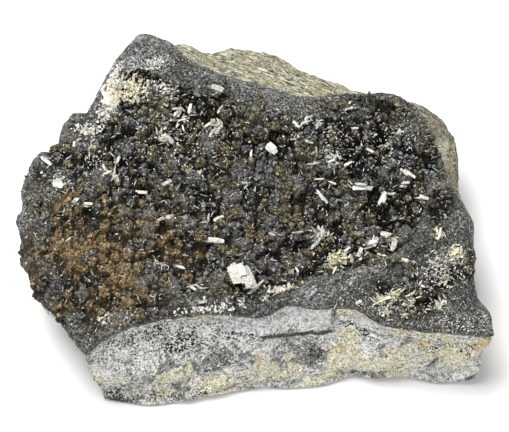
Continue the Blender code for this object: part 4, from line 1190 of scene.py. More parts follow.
def galena_rings(loop):
    """Rings from just under the edge, round the bulge, and in over the margin. Over the rounded edge they lie
    at even turns of the quarter ellipse, and further in at even steps to the crust."""
    edge, crust = loop[:, :3], loop[:, 8:]
    widest = widest_line(edge, OUTLINE_ROUNDS)
    away = outward(eased(edge, OUTLINE_ROUNDS))
    tucked = edge + (0, 0, -0.5)
    tucked[:, :2] -= away * 1.2
    rings = [sunk(edge, SUNK_SHARE, SUNK_TOP), tucked]
    for share in np.linspace(0, 1, EDGE_RINGS):
        ring = edge + (widest - edge) * share
        ring[:, :2] += away * EDGE_BULGE * (math.sin(math.pi / 2 * share) - share)
        rings.append(ring)
    run = crust - widest[:, :2]
    length = np.linalg.norm(run, axis=1)
    near = np.minimum(RIM_WIDTH / length, 0.6)
    for step in np.linspace(0, 1, MARGIN_RINGS)[1:]:
        turned = 1 - math.cos(math.pi / 2 * min(step * 2.6, 1))
        share = near * turned + (1 - near) * max(step * 2.6 - 1, 0) / 1.6
        plan = widest[:, :2] + run * share[:, None]
        rings.append(with_height(plan, rimmed_height(plan)))
    crust_away = outward(eased(crust, OUTLINE_ROUNDS))
    for inset, drop in HIDDEN_RINGS:
        hidden = rings[-1] - (0, 0, drop)
        hidden[:, :2] = crust - crust_away * inset
        rings.append(hidden)
    return np.array([*rings, sunk(crust, SUNK_SHARE - 0.05, SUNK_TOP + 0.4)])


galena_stack = galena_rings(fine_loop)
print("rings of the galena:", len(galena_stack), "with", galena_stack.shape[1], "points each")

# %% Galena skin
RIDGE_HEADING, FURROW_STRETCH = 26, 7
RIDGE = ("ridge", 11.6, -20.4, 9.6, 2.3, RIDGE_HEADING, 1.0)


def furrows(points, ridge):
    """Long furrows: noise on points that are turned back by the ridge's heading and pressed together along it."""
    along, aside = turned_back(points[:, 0], points[:, 1], RIDGE_HEADING)
    return ridge * roughness(on_level(along / FURROW_STRETCH, aside), ((0.95, 0.34), (0.5, 0.14)), 67)


def galena_relief(points):
    """Swells and packed sugar grains of the layer's bare surface, the swells higher on the lobes at the left, and
    furrows for most of the grains along the ridge."""
    ridge = swell_of(points[:, 0], points[:, 1], RIDGE)
    swells = roughness(points, ((3.2, 0.32), (1.5, 0.2)), 61) * (1 + 0.9 * np.clip((-points[:, 0] - 34) / 4, 0, 1))
    near, far, own = cells(points, 0.9, 63)
    grains = (0.5 - near) * 0.14 + (own - 0.5) * 0.10 * np.clip((far - near) * 5, 0, 1)
    return swells + (grains + 0.05 * swelling(points, 0.45, 65)) * (1 - 0.7 * ridge) + furrows(points, ridge)


def build_galena():
    """The rings raised by the bare surface's relief, or by the granules where the crust has spread over it. The
    relief is weaker round the bulge, and the hidden rings at either end have none."""
    flat = galena_stack.reshape(-1, 3)
    crusty = crustiness(flat[:, 0], flat[:, 1])
    relief, own, tone, gap, _ = clotted(flat)
    rough = galena_relief(flat) * (1 - 0.6 * crusty) + crusty * (relief * 0.8 + 0.3)
    amount = np.ones(len(galena_stack))
    amount[:2] = 0
    amount[2:2 + EDGE_RINGS] = 0.6
    amount[-1 - len(HIDDEN_RINGS):] = 0
    rings = raised(galena_stack, rough.reshape(galena_stack.shape[:2]), amount)
    points = rings.reshape(-1, 3)
    fields = {"crusty": crusty, **mineral_fields(points, own, tone, gap)}
    piece = add_piece("galena_skin", points, closed_stack(rings), galena_finish, fields=fields)
    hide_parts("galena_layer")


build_galena()

# %% [markdown]
# ## The crust's ground
#
# Under the crystals lies the mass that they grew from. It is a Coons patch inside the crust's outline, raised
# by packed lumps, granules and nodules. Towards the outline it sinks into the galena, so that the border is
# ragged and no step shows.

# %% Crust ground
CRUST_RISE, LUMP_SPACING, LUMP_HEIGHT, LUMP_SEED = 0.5, 4.4, 2.2, 11
CRUST_ALONG, CRUST_ACROSS = 372, 254
CRUST_FADE = 3.0
crust_outline = coarse_loop[:, 8:]


def crust_height(plan, inset):
    """The top's height, raised by lumps, granules and nodules, and sunk under the galena at the outline."""
    big = LUMP_HEIGHT * (lumps(plan, LUMP_SPACING, LUMP_SEED) - 0.35)
    relief, *_ = clotted(plan)
    cover, dome = nodule_cover(*plan.T)
    fade = np.clip(inset / CRUST_FADE, 0, 1)
    rough = relief * (1 - 0.8 * cover) * (0.6 + 0.4 * fade) + dome * 0.8
    return top_height(*plan.T) - 0.35 * (1 - fade) + fade * (CRUST_RISE + big) + rough


def build_crust():
    """The patch's grid as the upper face, with a skirt round its border down to a flat face hidden in the rock."""
    sides = [side[:, 8:] for side in four_sides(CRUST_ALONG, CRUST_ACROSS)]
    plan = patch(*sides)
    flat = plan.reshape(-1, 2)
    inset, _ = nearest_on(with_height(crust_outline, 0.0), flat)
    top = with_height(flat, crust_height(flat, inset))
    index = np.arange(len(flat)).reshape(plan.shape[:2])
    border = np.concatenate([index[:-1, 0], index[-1, :-1], index[::-1][:-1, -1], index[0, ::-1][:-1]])
    under = with_height(flat[border], SUNK_TOP + 0.8)
    low = len(top) + np.arange(len(border))
    quads = np.stack([index[:-1, :-1], index[1:, :-1], index[1:, 1:], index[:-1, 1:]], -1).reshape(-1, 4)
    skirt = np.stack([low, np.roll(low, -1), np.roll(border, -1), border], -1)
    bottom = filling(under[:, :2])[:, ::-1] + len(top)
    points = np.vstack([top, under])
    _, own, tone, gap, _ = clotted(points[:, :2])
    fields = mineral_fields(points, own, tone, gap)
    piece = add_piece("crust_ground", points, [quads, skirt, bottom], crust_finish, fields=fields)
    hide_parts("crystal_crust")


build_crust()

# %% [markdown]
# ## The crystals
#
# What makes the crust sparkle is thousands of small crystals. Each is a small block with flat faces: a
# template of a few corners is stretched, turned at random and set down on the crust. All of them are worked
# out at once, as arrays with one row for each crystal, and joined into a few meshes.


# %% Crystal helpers
TOP_SHARE = 0.94
SEARCH_X, SEARCH_Y = (-46, 46), (-34, 36)


def cube_template():
    """A cube with two of its corners cut down, as eight corners and twelve triangles."""
    corners = np.array([(x, y, z) for z in (-0.5, 0.5) for y in (-0.5, 0.5) for x in (-0.5, 0.5)])
    corners[7] *= 0.72
    corners[4] *= 0.8
    quads = [(0, 2, 3, 1), (4, 5, 7, 6), (0, 1, 5, 4), (2, 6, 7, 3), (0, 4, 6, 2), (1, 3, 7, 5)]
    return corners, np.array([t for a, b, c, d in quads for t in ((a, b, c), (a, c, d))])


def extruded(outline):
    """A flat crystal one thick over this outline, its upper face a little smaller than its lower one."""
    outline = np.array(outline)
    count = len(outline)
    corners = np.vstack([with_height(outline, -0.5), with_height(outline * TOP_SHARE, 0.5)])
    faces = [(0, k + 1, k) for k in range(1, count - 1)]
    faces += [(count, count + k, count + k + 1) for k in range(1, count - 1)]
    for k in range(count):
        n = (k + 1) % count
        faces += [(k, n, count + n), (k, count + n, count + k)]
    return corners, np.array(faces)


block = cube_template()
sliver = extruded([(-0.5, -0.3), (0.2, -0.5), (0.5, 0.1), (-0.3, 0.5)])
splinter = extruded([(-0.5, -0.35), (0.1, -0.5), (0.5, -0.1), (0.36, 0.3), (-0.1, 0.5), (-0.5, 0.3)])
plate = extruded([
    (0.5, -0.44), (0.42, 0.06), (0.5, 0.4), (0.1, 0.5), (-0.44, 0.42), (-0.5, -0.12), (-0.36, -0.5), (0.1, -0.42)
])


def turns(yaw, pitch, roll):
    """One turning matrix for each crystal: rolled about x, pitched about y, then turned about z."""
    cy, sy, cp, sp, cr, sr = np.cos(yaw), np.sin(yaw), np.cos(pitch), np.sin(pitch), np.cos(roll), np.sin(roll)
    return np.stack([
        np.stack([cy * cp, cy * sp * sr - sy * cr, cy * sp * cr + sy * sr], -1),
        np.stack([sy * cp, sy * sp * sr + cy * cr, sy * sp * cr - cy * sr], -1),
        np.stack([-sp, cp * sr, cp * cr], -1),
    ], -2)


def crystal_field(name, template, places, sizes, matrices, material, fields, jitter, seed):
    """Every crystal's corners are the template's, moved a little at random, stretched by its three sizes, turned
    and set down in its place."""
    corners, faces = template
    own = np.broadcast_to(corners, (len(places), *corners.shape))
    own = own * (1 + np.random.RandomState(seed).uniform(-jitter, jitter, own.shape))
    points = np.einsum("nij,nkj->nki", matrices, own * sizes[:, None]) + places[:, None]
    offsets = np.arange(len(places))[:, None, None] * len(corners)
    spread = {key: np.repeat(values, len(corners)) for key, values in fields.items()}
    triangles = (faces + offsets).reshape(-1, 3)
    add_piece(name, points.reshape(-1, 3), [triangles], material, smooth=False, fields=spread)


def crystal_material(name, colours, rough, glint):
    """Each crystal's tone is its own random number. Its colours run from plain to grey or rust by its clot and
    its patch; they are given as dark and light for each of the three."""
    material, tree, shader = blank_material(name)
    grain = group_node(tree, grain_group, Grain_Scale=3000.0, Cloud_Scale=500.0, Bump_Strength=0.4)
    tint = share_of(tree, field(tree, "tint"), 0.7)
    even = math_node(tree, "ADD", tint, share_of(tree, grain["Tone"], 0.5), clamp=True)
    tone = math_node(tree, "POWER", even, 1.25)
    plain, grey, rusty = (mixed(tree, tone, dark, light) for dark, light in colours)
    cool = mixed(tree, field(tree, "grey"), plain, grey)
    give_finish(tree, shader, mixed(tree, field(tree, "rust"), cool, rusty), grain["Normal"], rough, glint)
    return material


def scattered(spacing, seed, keep):
    """Random places in plan, one in each square cell of this spacing that the dice keep, inside the galena."""
    own = np.random.RandomState(seed)
    across, up = np.arange(*SEARCH_X, spacing), np.arange(*SEARCH_Y, spacing)
    plan = np.stack(np.meshgrid(across, up, indexing="ij"), -1).reshape(-1, 2)
    plan = plan + own.uniform(0, spacing, plan.shape)
    plan = plan[own.uniform(0, 1, len(plan)) < keep]
    return plan[is_inside(coarse_widest, plan)]


def on_the_top(plan):
    """For places in plan: the surface's height there, how far inside the crust's outline it is (below 0
    outside), and how crusty the ground is."""
    inset, _ = nearest_on(with_height(crust_outline, 0.0), plan)
    inside = is_inside(crust_outline, plan)
    crusty = crustiness(*plan.T)
    margin = rimmed_height(plan) + crusty * (clotted(plan)[0] * 0.8 + 0.3)
    height = np.where(inside, np.maximum(crust_height(plan, inset), rimmed_height(plan) - 0.4), margin)
    return height, np.where(inside, inset, -inset), crusty


corner_counts = [len(corners) for corners, _ in (block, sliver, splinter, plate)]
print("corners of a block, a sliver, a splinter and a plate:", corner_counts)

# %% [markdown]
# ## Dark and rusty crystals
#
# Coarse grains and finer blocks sit on the clots, and a sprinkling of tiny pale ones gives the crust its
# glitter. In the basin they are coated with rust. They keep off the nodules, and near the crust's border they
# thin out over the bare galena.

# %% Dark and rusty crystals
dark_finish = crystal_material("dark_crystals", (
    ((0.006, 0.006, 0.004), (0.29, 0.27, 0.18)), ((0.010, 0.010, 0.011), (0.30, 0.30, 0.29)),
    ((0.064, 0.044, 0.020), (0.40, 0.285, 0.155)),
), 0.36, 0.2)
glitter_finish = crystal_material("glitter", (
    ((0.24, 0.24, 0.22), (0.90, 0.90, 0.84)), ((0.24, 0.24, 0.24), (0.84, 0.84, 0.84)),
    ((0.28, 0.22, 0.12), (0.66, 0.58, 0.40)),
), 0.3, 0.5)
LARGE = 0.48


def dark_crystals(name, spacing, smallest, largest, seed, reach, finish, share):
    """Blocks in jittered rows over the crust and its outliers, fewer and fewer out to this reach beyond it.
    They sit on the clots, further from the clot's border than half their size, so the gaps stay open."""
    own = np.random.RandomState(seed)
    plan = scattered(spacing, seed, share)
    height, inset, crusty = on_the_top(plan)
    _, clot, _, gap, clear = clotted(plan)
    cover, _ = nodule_cover(*plan.T)
    rust = rustiness(*plan.T)
    size = smallest + (largest - smallest) * own.uniform(0, 1, len(plan)) ** 2
    chance = np.maximum(np.clip(1 + inset / reach, 0, 1) ** 1.5, crusty * 1.1) * (1 - 0.9 * cover)
    chance *= np.clip(1.15 - 1.6 * gap * (1 - 0.3 * rust), 0, 1) * (clear > (0.5 - 0.15 * rust) * size)
    chance *= (1 - creaminess(*plan.T)) * np.where(size > LARGE, 1 - 0.65 * rust, 1)
    kept = own.uniform(0, 1, len(plan)) < chance
    plan, height, clot, size, rust = plan[kept], height[kept], clot[kept], size[kept], rust[kept]
    count = len(plan)
    sizes = size[:, None] * own.uniform(0.65, 1.25, (count, 3))
    lift = size * own.uniform(-0.15, 0.35, count)
    matrices = turns(*own.uniform(-math.pi, math.pi, (3, count)))
    grey = grey_share(clot, rust)
    rusty = np.clip(rust * 1.25 * (1.2 - 0.9 * grey) + own.uniform(-0.2, 0.15, count), 0, 1)
    # Painted shade: crystals that sit in the gaps are given a darker tint.
    tint = own.uniform(0, 1, count) ** 2.3 * (1 - 0.75 * gap[kept])
    fields = {"tint": tint, "rust": rusty, "grey": grey}
    places = with_height(plan, height + lift)
    crystal_field(name, block, places, sizes, matrices, finish, fields, 0.24, seed)


dark_crystals("coarse_crystals", 0.76, 0.42, 0.84, 101, 1.0, dark_finish, 1.0)
dark_crystals("fine_crystals", 0.46, 0.24, 0.48, 103, 1.6, dark_finish, 1.0)
dark_crystals("glitter", 0.60, 0.16, 0.34, 107, 2.2, glitter_finish, 0.26)

# %% [markdown]
# ## White splinters, plates and tufts
#
# Pale crystals lie over the dark ground in four ways: single splinters everywhere, larger laths and plates
# that stand out one by one, tufts whose blades spread from one root, and close masses of small blades. The
# laths, tufts and masses are listed one by one, each with its own size, direction and yellowness.

# %% Places of the pale crystals
pale_finish = crystal_material("pale_crystals", (
    ((0.16, 0.16, 0.145), (0.80, 0.80, 0.74)), ((0.16, 0.16, 0.16), (0.60, 0.60, 0.60)),
    ((0.24, 0.20, 0.10), (0.84, 0.80, 0.56)),
), 0.36, 0.5)
# Laths and plates: place, length, width, heading, and yellowness, or greyness where it is below 0.
FLAT_CRYSTALS = [
    (-4.2, -19.5, 4.5, 2.3, -66, 0.2), (-1.7, -20.3, 4.8, 2.9, -70, 0.2), (-0.4, -21.7, 3.8, 0.7, 44, 0.0),
    (2.9, 8.3, 2.3, 1.85, -44, 0.1), (-0.9, 7.3, 1.5, 0.53, 86, 0.2), (11.6, 8.1, 2.7, 0.53, 87, 0.15),
    (10.1, 9.5, 1.7, 0.44, -28, 0.1), (10.8, 6.2, 2.5, 0.53, 3, 0.1), (14.5, 7.3, 1.5, 0.53, -49, 0.1),
    (14.5, 5.6, 2.3, 0.7, 12, 0.1), (17.2, 6, 2.7, 0.53, 25, 0.2), (21.7, 7.2, 1.7, 0.7, -39, 0.1),
    (29.1, 2.9, 2.9, 0.7, -44, 0.2), (28.5, 1.4, 1.5, 0.79, 0, 0.1), (32.4, -0.9, 3.4, 0.79, -21, 0.25),
    (20.2, 0.5, 3.8, 1.23, -9, 0.05), (12.6, -2.4, 3.6, 0.7, -56, 0.05), (24, -1.4, 2.9, 1.32, 65, 0.05),
    (25.8, 0.3, 1.7, 0.79, -12, 0.05), (12, 2.1, 1.7, 0.44, 0, 0.1), (14.4, 1.3, 1.5, 0.44, -23, 0.1),
    (7.7, -9.6, 2.1, 0.44, 7, 0.1), (3, -10.5, 1.5, 0.35, -34, 0.1), (-31.8, -4.1, 1.7, 0.79, -12, 0.35),
    (-18.2, -7, 1.7, 0.7, 17, 0.15), (-16.4, -6.7, 1.5, 0.79, 6, 0.15), (-9.7, -7.2, 1.9, 0.44, -54, 0.1),
    (-9, -6.6, 1.7, 0.44, 86, 0.1), (-7.2, -6.4, 2.1, 0.97, 28, 0.15), (-7.6, -11.6, 3.2, 1.32, -14, 0.1),
    (-14.4, -17.6, 1.7, 0.53, -21, 0.15), (-11.7, -21.5, 2.3, 0.62, -46, 0.1),
    (-10.7, -21, 2.1, 0.62, -49, 0.1), (-12.2, -20.7, 1.7, 0.53, 12, 0.2), (-7.3, 19.5, 2.3, 1.6, -34, -0.9),
    (-8.6, 10.9, 1.7, 0.5, 63, 0.3), (-9.1, 13.2, 2.1, 0.7, 34, 0.35), (-6.5, 13.3, 1.5, 0.5, 81, 0.3),
    (-7, 15.5, 1.5, 0.53, 63, 0.2), (-16.5, 9.7, 2.7, 1.2, -59, -0.5), (-17.9, 9.8, 1.5, 0.6, 0, 0.1),
    (-21.6, -0.8, 2.1, 0.7, -17, 0.1), (-16.9, 0.2, 1.9, 1.14, 23, 0.1), (-39.9, 5.2, 2.5, 0.7, -44, 0.05),
    (-37.7, 0.7, 2.1, 1.5, -23, 0.05), (-34.3, -3.2, 1.5, 0.79, 54, 0.1), (-27.3, 1.2, 2.1, 0.7, 23, 0.15),
    (-26.2, 4.8, 1.7, 0.7, 63, 0.15), (-15.4, 14.8, 3.2, 0.7, 65, 0.2), (-12.6, 15.7, 1.9, 0.7, 77, 0.15),
    (-14.1, 16.4, 1.7, 0.53, -54, 0.2), (19.6, -14.1, 1.9, 0.79, 77, 0.05), (21.3, -12.3, 2.9, 1.14, 17, 0.05),
    (22.7, -11.4, 1.7, 0.79, 63, 0.05), (24.6, -9.8, 1.9, 1.14, -23, 0.35), (26.1, -11.6, 2.3, 1.14, 63, 0.4),
    (24.1, -14.3, 1.7, 0.79, -44, 0.05), (27.7, -15.5, 1.7, 0.79, 0, 0.6), (12.3, -10.2, 2.9, 0.7, 68, 0.05),
    (11.1, -11.8, 1.9, 0.7, 34, 0.05), (7.5, -17.5, 2.5, 0.53, -65, 0.1), (16.8, -13.6, 1.7, 0.7, 39, 0.15),
    (34.7, -10.2, 2.1, 0.53, 77, 0.3), (37.7, -13.8, 1.7, 0.97, 44, 0.6), (22.9, -23.5, 2.3, 0.4, 23, 0.45),
    (24.5, -22.6, 1.9, 0.7, 12, 0.3), (24.8, -25.3, 1.7, 0.7, -12, 0.15), (19.3, -23.9, 1.1, 0.8, 30, 0.1),
    (17.9, 16.6, 1.3, 0.7, 0, 0.5), (27.2, 11.5, 1.5, 0.7, 54, 0.05), (18.8, 11.4, 1.5, 0.53, 0, 0.3),
    (11.8, 13.1, 1.5, 0.53, 59, 0.1), (9.7, 13.8, 2.3, 0.53, 17, 0.15), (7.8, 12.8, 1.5, 0.7, -34, 0.3),
    (-31, 7.9, 1.5, 0.79, 44, 0.6), (-34.6, 8.8, 1.3, 0.53, 81, 0.4),
]
# Tufts: place, radius, number of blades, yellowness.
TUFTS = [
    (12.1, -10.2, 1.9, 30, 0.05), (15.4, -15.4, 2.3, 26, 1.1), (16.6, -13.7, 1.3, 12, 0.7),
    (19.2, -14.5, 1.1, 8, 0.15), (21.9, -12.2, 1.7, 14, 0.15), (25.5, -10.5, 1.7, 12, 0.5),
    (34.7, -10.5, 1.5, 12, 0.4), (37.9, -13.8, 1.5, 16, 0.7), (27.7, -15.3, 1.1, 8, 0.65),
    (35.5, -20.1, 1.1, 10, 0.1), (34.8, -23.6, 1.5, 12, 0.25), (3.8, -21.9, 0.9, 9, 0.6),
    (6.4, -21, 0.9, 9, 0.5), (-14.9, 14.9, 1.9, 26, 0.3), (-8.2, 13.1, 1.7, 26, 0.35),
    (-17.9, 10.1, 1.7, 22, 0.1), (-27.3, 1.1, 1.6, 20, 0.25), (-37.7, 1.2, 0.9, 8, 0.1),
    (-31, 8.2, 1.1, 10, 0.5), (-7.1, 19.4, 1.1, 8, 0.2), (9.7, 13.7, 1.3, 10, 0.15), (11.8, 13.2, 1.1, 10, 0.1),
    (17.9, 16.7, 0.9, 8, 0.6), (27.2, 11.5, 1.1, 10, 0.05), (25.1, 8.5, 0.9, 8, 0.05),
    (-18.1, -16.5, 1.1, 9, 0.2), (-5.7, -25.1, 1.3, 12, 0.15), (-27.6, -26.7, 0.9, 8, 0.1),
    (-29.1, -27.8, 0.9, 9, 0.15), (-19.5, -25.8, 0.9, 8, 0.05), (14.1, 6.9, 1.5, 10, 0.1),
    (23.4, -22.9, 1.6, 18, 1.0), (26.2, -21.7, 1.6, 18, 0.95), (29.4, -22.2, 1.5, 16, 0.9),
    (31.8, -24.1, 1.3, 10, 0.6), (28, -25.5, 1.5, 12, 0.8), (24.3, -25.5, 1.3, 12, 0.5),
    (30.9, -19.9, 1.1, 8, 0.2), (33.9, -15.8, 1.3, 10, 0.4), (1.3, -23.3, 1.1, 8, 0.2),
    (-2.3, -24.8, 1.1, 9, 0.1), (-9.6, -24.3, 0.9, 8, 0.1), (14.2, -10.6, 0.9, 7, 0.1),
    (-2.5, 1.4, 0.9, 7, 0.1), (-10.6, 3.3, 0.9, 8, 0.2), (7.6, 10.6, 0.9, 8, 0.1),
]
# Masses: place, half length, half width, heading, number of blades, yellowness, blade size.
MASSES = [
    (-23.2, 20, 3, 2.2, 10, 150, 0.8, 0.42), (-26.9, 21.4, 2, 1.4, 20, 80, 0.15, 0.42),
    (-17.7, 20.1, 2.7, 1.7, -30, 110, 0.1, 0.34), (-28.7, 14.8, 2.2, 1.5, -50, 110, 0.1, 0.38),
    (-32, 11.5, 2.3, 1.2, 12, 90, 0.1, 0.42), (-26.3, 24.4, 1.9, 1, 44, 40, 0.1, 0.34),
    (-19.9, 25.1, 3.8, 1.2, 17, 70, 0.05, 0.26), (34.7, -17.6, 4.9, 2.8, 12, 230, 0.15, 0.26),
    (37.9, -13.7, 1.7, 1.6, 0, 40, 0.55, 0.42), (27.1, -23.1, 6.5, 2.8, 5, 170, 0.3, 0.3),
    (-9.6, -25.9, 6.8, 0.8, 5, 70, 0.05, 0.4), (4.5, -21.5, 2.7, 0.8, 12, 50, 0.45, 0.42),
    (-23.7, -27.4, 3.4, 1, 28, 22, 0.05, 0.3), (-37.2, 1.7, 1.5, 2.8, 63, 50, 0.1, 0.34),
    (25.5, 8.4, 4.9, 5.2, 0, 150, 0.05, 0.26), (14.1, 8.8, 6.1, 4, 0, 150, 0.05, 0.28),
    (-14, 9, 12, 6, -15, 230, 0.35, 0.3), (-31, 6, 5, 5, 0, 70, 0.15, 0.3),
    (40.2, -29.4, 3, 1.6, -23, 60, 0.05, 0.26), (35.5, -27.5, 3.8, 2.4, 0, 60, 0.05, 0.24),
]
print(len(FLAT_CRYSTALS), "laths and plates,", len(TUFTS), "tufts and", len(MASSES), "masses")


# %% Pale crystals
def blades(name, plan, length, width, thick, yaw, rise, lift, tint, yellow, seed, template=splinter):
    """Flat crystals from arrays: their places in plan, sizes, headings and rises, and how high they sit. Each is
    rolled a little about its length, less where it is wide."""
    height, _, _ = on_the_top(plan)
    own = np.random.RandomState(seed)
    roll = own.uniform(-0.6, 0.6, len(plan)) / np.maximum(width, 1.0) ** 2
    matrices = turns(yaw, -rise, roll)
    grey = np.maximum(own.uniform(0, 0.6, len(plan)), -yellow)
    fields = {"tint": tint * (1 + 0.6 * np.minimum(yellow, 0)), "rust": np.clip(yellow, 0, 1), "grey": grey}
    sizes = np.column_stack([length, width, thick])
    places = with_height(plan, height + lift)
    crystal_field(name, template, places, sizes, matrices, pale_finish, fields, 0.22, seed)


def build_splinters():
    """Single splinters, one to each of the jittered cells that the dice keep, fewer on bare galena."""
    own = np.random.RandomState(201)
    plan = scattered(1.0, 201, 0.62)
    _, inset, crusty = on_the_top(plan)
    scarce = 1 - 0.7 * rustiness(*plan.T)
    plan = plan[own.uniform(0, 1, len(plan)) < np.maximum(inset > 0, np.maximum(crusty, 0.1)) * scarce]
    count = len(plan)
    length = 0.25 + 1.3 * own.uniform(0, 1, count) ** 2.6
    width = 0.08 + 0.16 * own.uniform(0, 1, count) ** 1.5
    blades(
        "splinters", plan, length, width, own.uniform(0.08, 0.18, count), own.uniform(-math.pi, math.pi, count),
        own.uniform(-0.3, 0.9, count), np.full(count, 0.36), own.uniform(0.1, 1.0, count),
        0.5 * rustiness(*plan.T), 201, sliver
    )


def build_tufts():
    """Each tuft's blades start near its root and spread about its main heading, raised by up to 57 degrees."""
    own = np.random.RandomState(203)
    rows = np.repeat(np.array(TUFTS), [row[3] for row in TUFTS], axis=0)
    count = len(rows)
    radius = rows[:, 2]
    main = np.repeat(own.uniform(-math.pi, math.pi, len(TUFTS)), [row[3] for row in TUFTS])
    yaw, rise = main + own.normal(0, 1.1, count), own.uniform(0.0, 1.0, count)
    length = radius * own.uniform(0.4, 1.05, count)
    reach = 0.5 * length * np.cos(rise)
    root = own.normal(0, 0.34, (2, count)) * radius
    plan = rows[:, :2] + np.column_stack([root[0] + reach * np.cos(yaw), root[1] + reach * np.sin(yaw)])
    lift = 0.5 * length * np.sin(rise) + 0.15
    yellow = np.clip(rows[:, 4] + own.uniform(-0.2, 0.2, count), 0, 1)
    blades(
        "tufts", plan, length, own.uniform(0.2, 0.55, count), own.uniform(0.08, 0.16, count), yaw, rise, lift,
        own.uniform(0.25, 1.1, count), yellow, 203
    )


def build_masses():
    """Small blades spread normally over each mass's turned ellipse, lying in every direction."""
    own = np.random.RandomState(205)
    rows = np.repeat(np.array(MASSES), [row[5] for row in MASSES], axis=0)
    count = len(rows)
    along, aside = own.normal(0, 0.5, (2, count)) * rows[:, 2:4].T
    plan = rows[:, :2] + turned_out(along, aside, rows[:, 4])
    inside = is_inside(coarse_widest, plan)
    plan, rows = plan[inside], rows[inside]
    count = len(plan)
    size = rows[:, 7] * own.uniform(0.6, 1.7, count)
    yellow = np.clip(rows[:, 6] + own.uniform(-0.3, 0.3, count), 0, 1)
    blades(
        "masses", plan, size, size * own.uniform(0.4, 0.9, count), size * 0.35, own.uniform(-math.pi, math.pi, count),
        own.uniform(-0.4, 1.0, count), size * 0.45 + 0.1, own.uniform(0.3, 1.1, count), yellow, 205
    )


def build_flat_crystals():
    """The laths and plates. Each is a main blade and some broken flakes that lap over it, moved off its middle
    and turned a little. A wide plate has two flakes and a lath one."""
    own = np.random.RandomState(211)
    table = np.array(FLAT_CRYSTALS)
    parts = np.where(table[:, 3] > 1.0, 3, 2)
    rows = np.repeat(table, parts, axis=0)
    count = len(rows)
    main = np.diff(np.repeat(np.arange(len(table)), parts), prepend=-1) > 0
    part = np.where(main, 1.0, own.uniform(0.5, 0.85, count))
    heading = np.radians(rows[:, 4]) + np.where(main, 0.0, own.normal(0, 0.16, count))
    moved = np.where(main, 0.0, 1.0)[:, None] * own.uniform(-0.42, 0.42, (count, 2)) * rows[:, 2:4]
    plan = rows[:, :2] + turned_out(moved[:, 0], moved[:, 1], rows[:, 4])
    rise = np.where(main, own.uniform(0.0, 0.35, count), own.uniform(-0.1, 0.3, count))
    rise = rise / np.maximum(rows[:, 3], 1.0)
    length, width = rows[:, 2] * part, rows[:, 3] * part * own.uniform(0.75, 1.0, count)
    thick = 0.12 + 0.08 * rows[:, 3] * own.uniform(0.5, 1.0, count)
    uneven = np.where(main, 0.0, own.uniform(-0.2, 0.1, count))
    lift = 0.5 * length * np.sin(rise) + 0.5 * thick + 0.15 + 0.3 * rows[:, 3] + uneven
    blades(
        "flat_crystals", plan, length, width, thick, heading, rise, lift, own.uniform(0.3, 1.0, count), rows[:, 5],
        213, plate
    )


build_splinters()
build_tufts()
build_masses()
build_flat_crystals()

# %% [markdown]
# ## Curls of silver
#
# Native silver grows as bent wires. Each is a tube round an arc: its path turns evenly from a first direction
# towards a side, and it is thinner towards its tip. They stand in the tufts.

# %% Silver wires
WIRES, SILVER_STEPS, SILVER_SIDES = 130, 14, 6


def silver_material():
    """Bright metal, duller where slow clouds of tarnish lie on it."""
    material, tree, shader = blank_material("silver")
    grain = group_node(tree, grain_group, Grain_Scale=2600.0, Cloud_Scale=700.0, Bump_Strength=0.3)
    tarnish = mixed(tree, grain["Clouds"], (0.86, 0.85, 0.81), (0.42, 0.40, 0.35))
    tree.links.new(tarnish, shader.inputs["Base Color"])
    shader.inputs["Metallic"].default_value = 0.9
    shader.inputs["Roughness"].default_value = 0.36
    return material


def build_wires():
    """Tubes round arcs. With the first direction d, the side n and the bend k, the path is
    (d sin kt + n (1 - cos kt)) / k, its own side is n cos kt - d sin kt, and b is d crossed with n."""
    own = np.random.RandomState(221)
    tufts = np.array(TUFTS)[:, :3]
    pick = tufts[own.randint(0, len(tufts), WIRES)]
    plan = pick[:, :2] + own.normal(0, 0.5, (WIRES, 2)) * pick[:, 2:]
    height, _, _ = on_the_top(plan)
    yaw, rise = own.uniform(-math.pi, math.pi, WIRES), own.uniform(0.2, 1.2, WIRES)
    matrices = turns(yaw, -rise, own.uniform(-math.pi, math.pi, WIRES))
    ahead, side, across = (matrices[:, None, :, k] for k in range(3))
    length = own.uniform(0.9, 2.6, WIRES)[:, None, None]
    bend = own.uniform(0.8, 4.2, WIRES)[:, None, None] / length
    t = np.linspace(0, 1, SILVER_STEPS)[None, :, None]
    path = (ahead * np.sin(bend * length * t) + side * (1 - np.cos(bend * length * t))) / bend
    path = path + with_height(plan, height + 0.15)[:, None]
    radius = own.uniform(0.06, 0.12, WIRES)[:, None, None] * (1 - 0.75 * t**2)
    normal = side * np.cos(bend * length * t) - ahead * np.sin(bend * length * t)
    turn = (np.arange(SILVER_SIDES) * 2 * math.pi / SILVER_SIDES)[None, None, :, None]
    ring = normal[:, :, None] * np.cos(turn) + across[:, :, None] * np.sin(turn)
    tube = path[:, :, None] + radius[..., None] * ring
    ends = np.stack([path[:, 0], path[:, -1]], axis=1)
    points = np.concatenate([tube.reshape(WIRES, -1, 3), ends], axis=1)
    quads = ring_quads(SILVER_STEPS, SILVER_SIDES)
    k = np.arange(SILVER_SIDES)
    first, last = SILVER_STEPS * SILVER_SIDES, (SILVER_STEPS - 1) * SILVER_SIDES
    following = (k + 1) % SILVER_SIDES
    caps = np.vstack([
        np.column_stack([following, k, np.full(SILVER_SIDES, first)]),
        np.column_stack([last + k, last + following, np.full(SILVER_SIDES, first + 1)]),
    ])
    offset = np.arange(WIRES)[:, None, None] * points.shape[1]
    faces = [(quads + offset).reshape(-1, 4), (caps + offset).reshape(-1, 3)]
    add_piece("silver_wires", points.reshape(-1, 3), faces, silver_material())


build_wires()

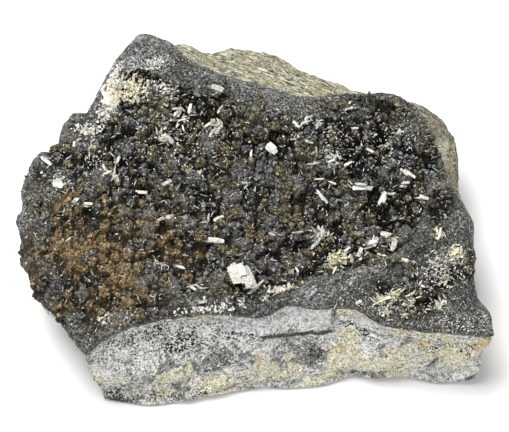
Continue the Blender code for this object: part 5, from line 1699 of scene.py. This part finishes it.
# %% [markdown]
# ## The floor, the light and the camera
#
# A pale floor, a large soft light from above and behind the left shoulder, a weaker one from the front, and a
# white surrounding make the plain studio. The camera looks down at 60 degrees through a long lens, so that
# the near and the far side keep their true proportions. A pixel is 0.19 mm wide at the middle of the top.

# %% Stage
PIXEL = 0.19
FRAME_WIDTH, SENSOR = 509, 36.0
CAMERA_ELEVATION = 60.0
LENS = 500.0
AIM = (-0.285, -3.32, 18.0)
FLOOR_DROP = 0.0002


def add_floor():
    """One square face, a fifth of a millimetre under the resting flat so that the two don't flicker."""
    mesh = bpy.data.meshes.new("floor")
    half = 3.0
    mesh.from_pydata([(-half, -half, 0), (half, -half, 0), (half, half, 0), (-half, half, 0)], [], [(0, 1, 2, 3)])
    material, _, shader = blank_material("floor")
    shader.inputs["Base Color"].default_value = (0.88, 0.88, 0.88, 1)
    shader.inputs["Roughness"].default_value = 0.9
    mesh.materials.append(material)
    floor = bpy.data.objects.new("floor", mesh)
    floor.location.z = -FLOOR_DROP
    bpy.context.scene.collection.objects.link(floor)


def add_area_light(name, place, size, power):
    """A square lamp in metres and watts that faces the specimen."""
    lamp = bpy.data.lights.new(name, "AREA")
    lamp.size = size
    lamp.energy = power
    thing = bpy.data.objects.new(name, lamp)
    thing.location = place
    thing.rotation_euler = (-Vector(place)).to_track_quat("-Z", "Y").to_euler()
    bpy.context.scene.collection.objects.link(thing)


def add_camera():
    """Its distance is the lens length times the framed width over the sensor's."""
    lens = bpy.data.cameras.new("camera")
    lens.lens, lens.sensor_width = LENS, SENSOR
    lens.clip_end = 20.0
    distance = LENS * FRAME_WIDTH * PIXEL * MM / SENSOR
    tilt = math.radians(CAMERA_ELEVATION)
    aim = (Vector(AIM) - Vector(MIDDLE)) * MM
    camera = bpy.data.objects.new("camera", lens)
    camera.location = aim + Vector((0, -math.cos(tilt), math.sin(tilt))) * distance
    camera.rotation_euler = (math.pi / 2 - tilt, 0, 0)
    bpy.context.scene.collection.objects.link(camera)
    bpy.context.scene.camera = camera
    print("camera distance in metres:", round(distance, 3))


add_floor()
add_area_light("key", (-0.18, 0.10, 0.76), 0.46, 8.4)
add_area_light("fill", (0.12, -0.64, 0.45), 0.45, 1.6)
add_camera()
world = bpy.data.worlds.new("studio")
world.use_nodes = True
world.node_tree.nodes["Background"].inputs["Color"].default_value = (1, 1, 1, 1)
world.node_tree.nodes["Background"].inputs["Strength"].default_value = 0.38
bpy.context.scene.world = world
bpy.context.scene.view_settings.view_transform = "Standard"
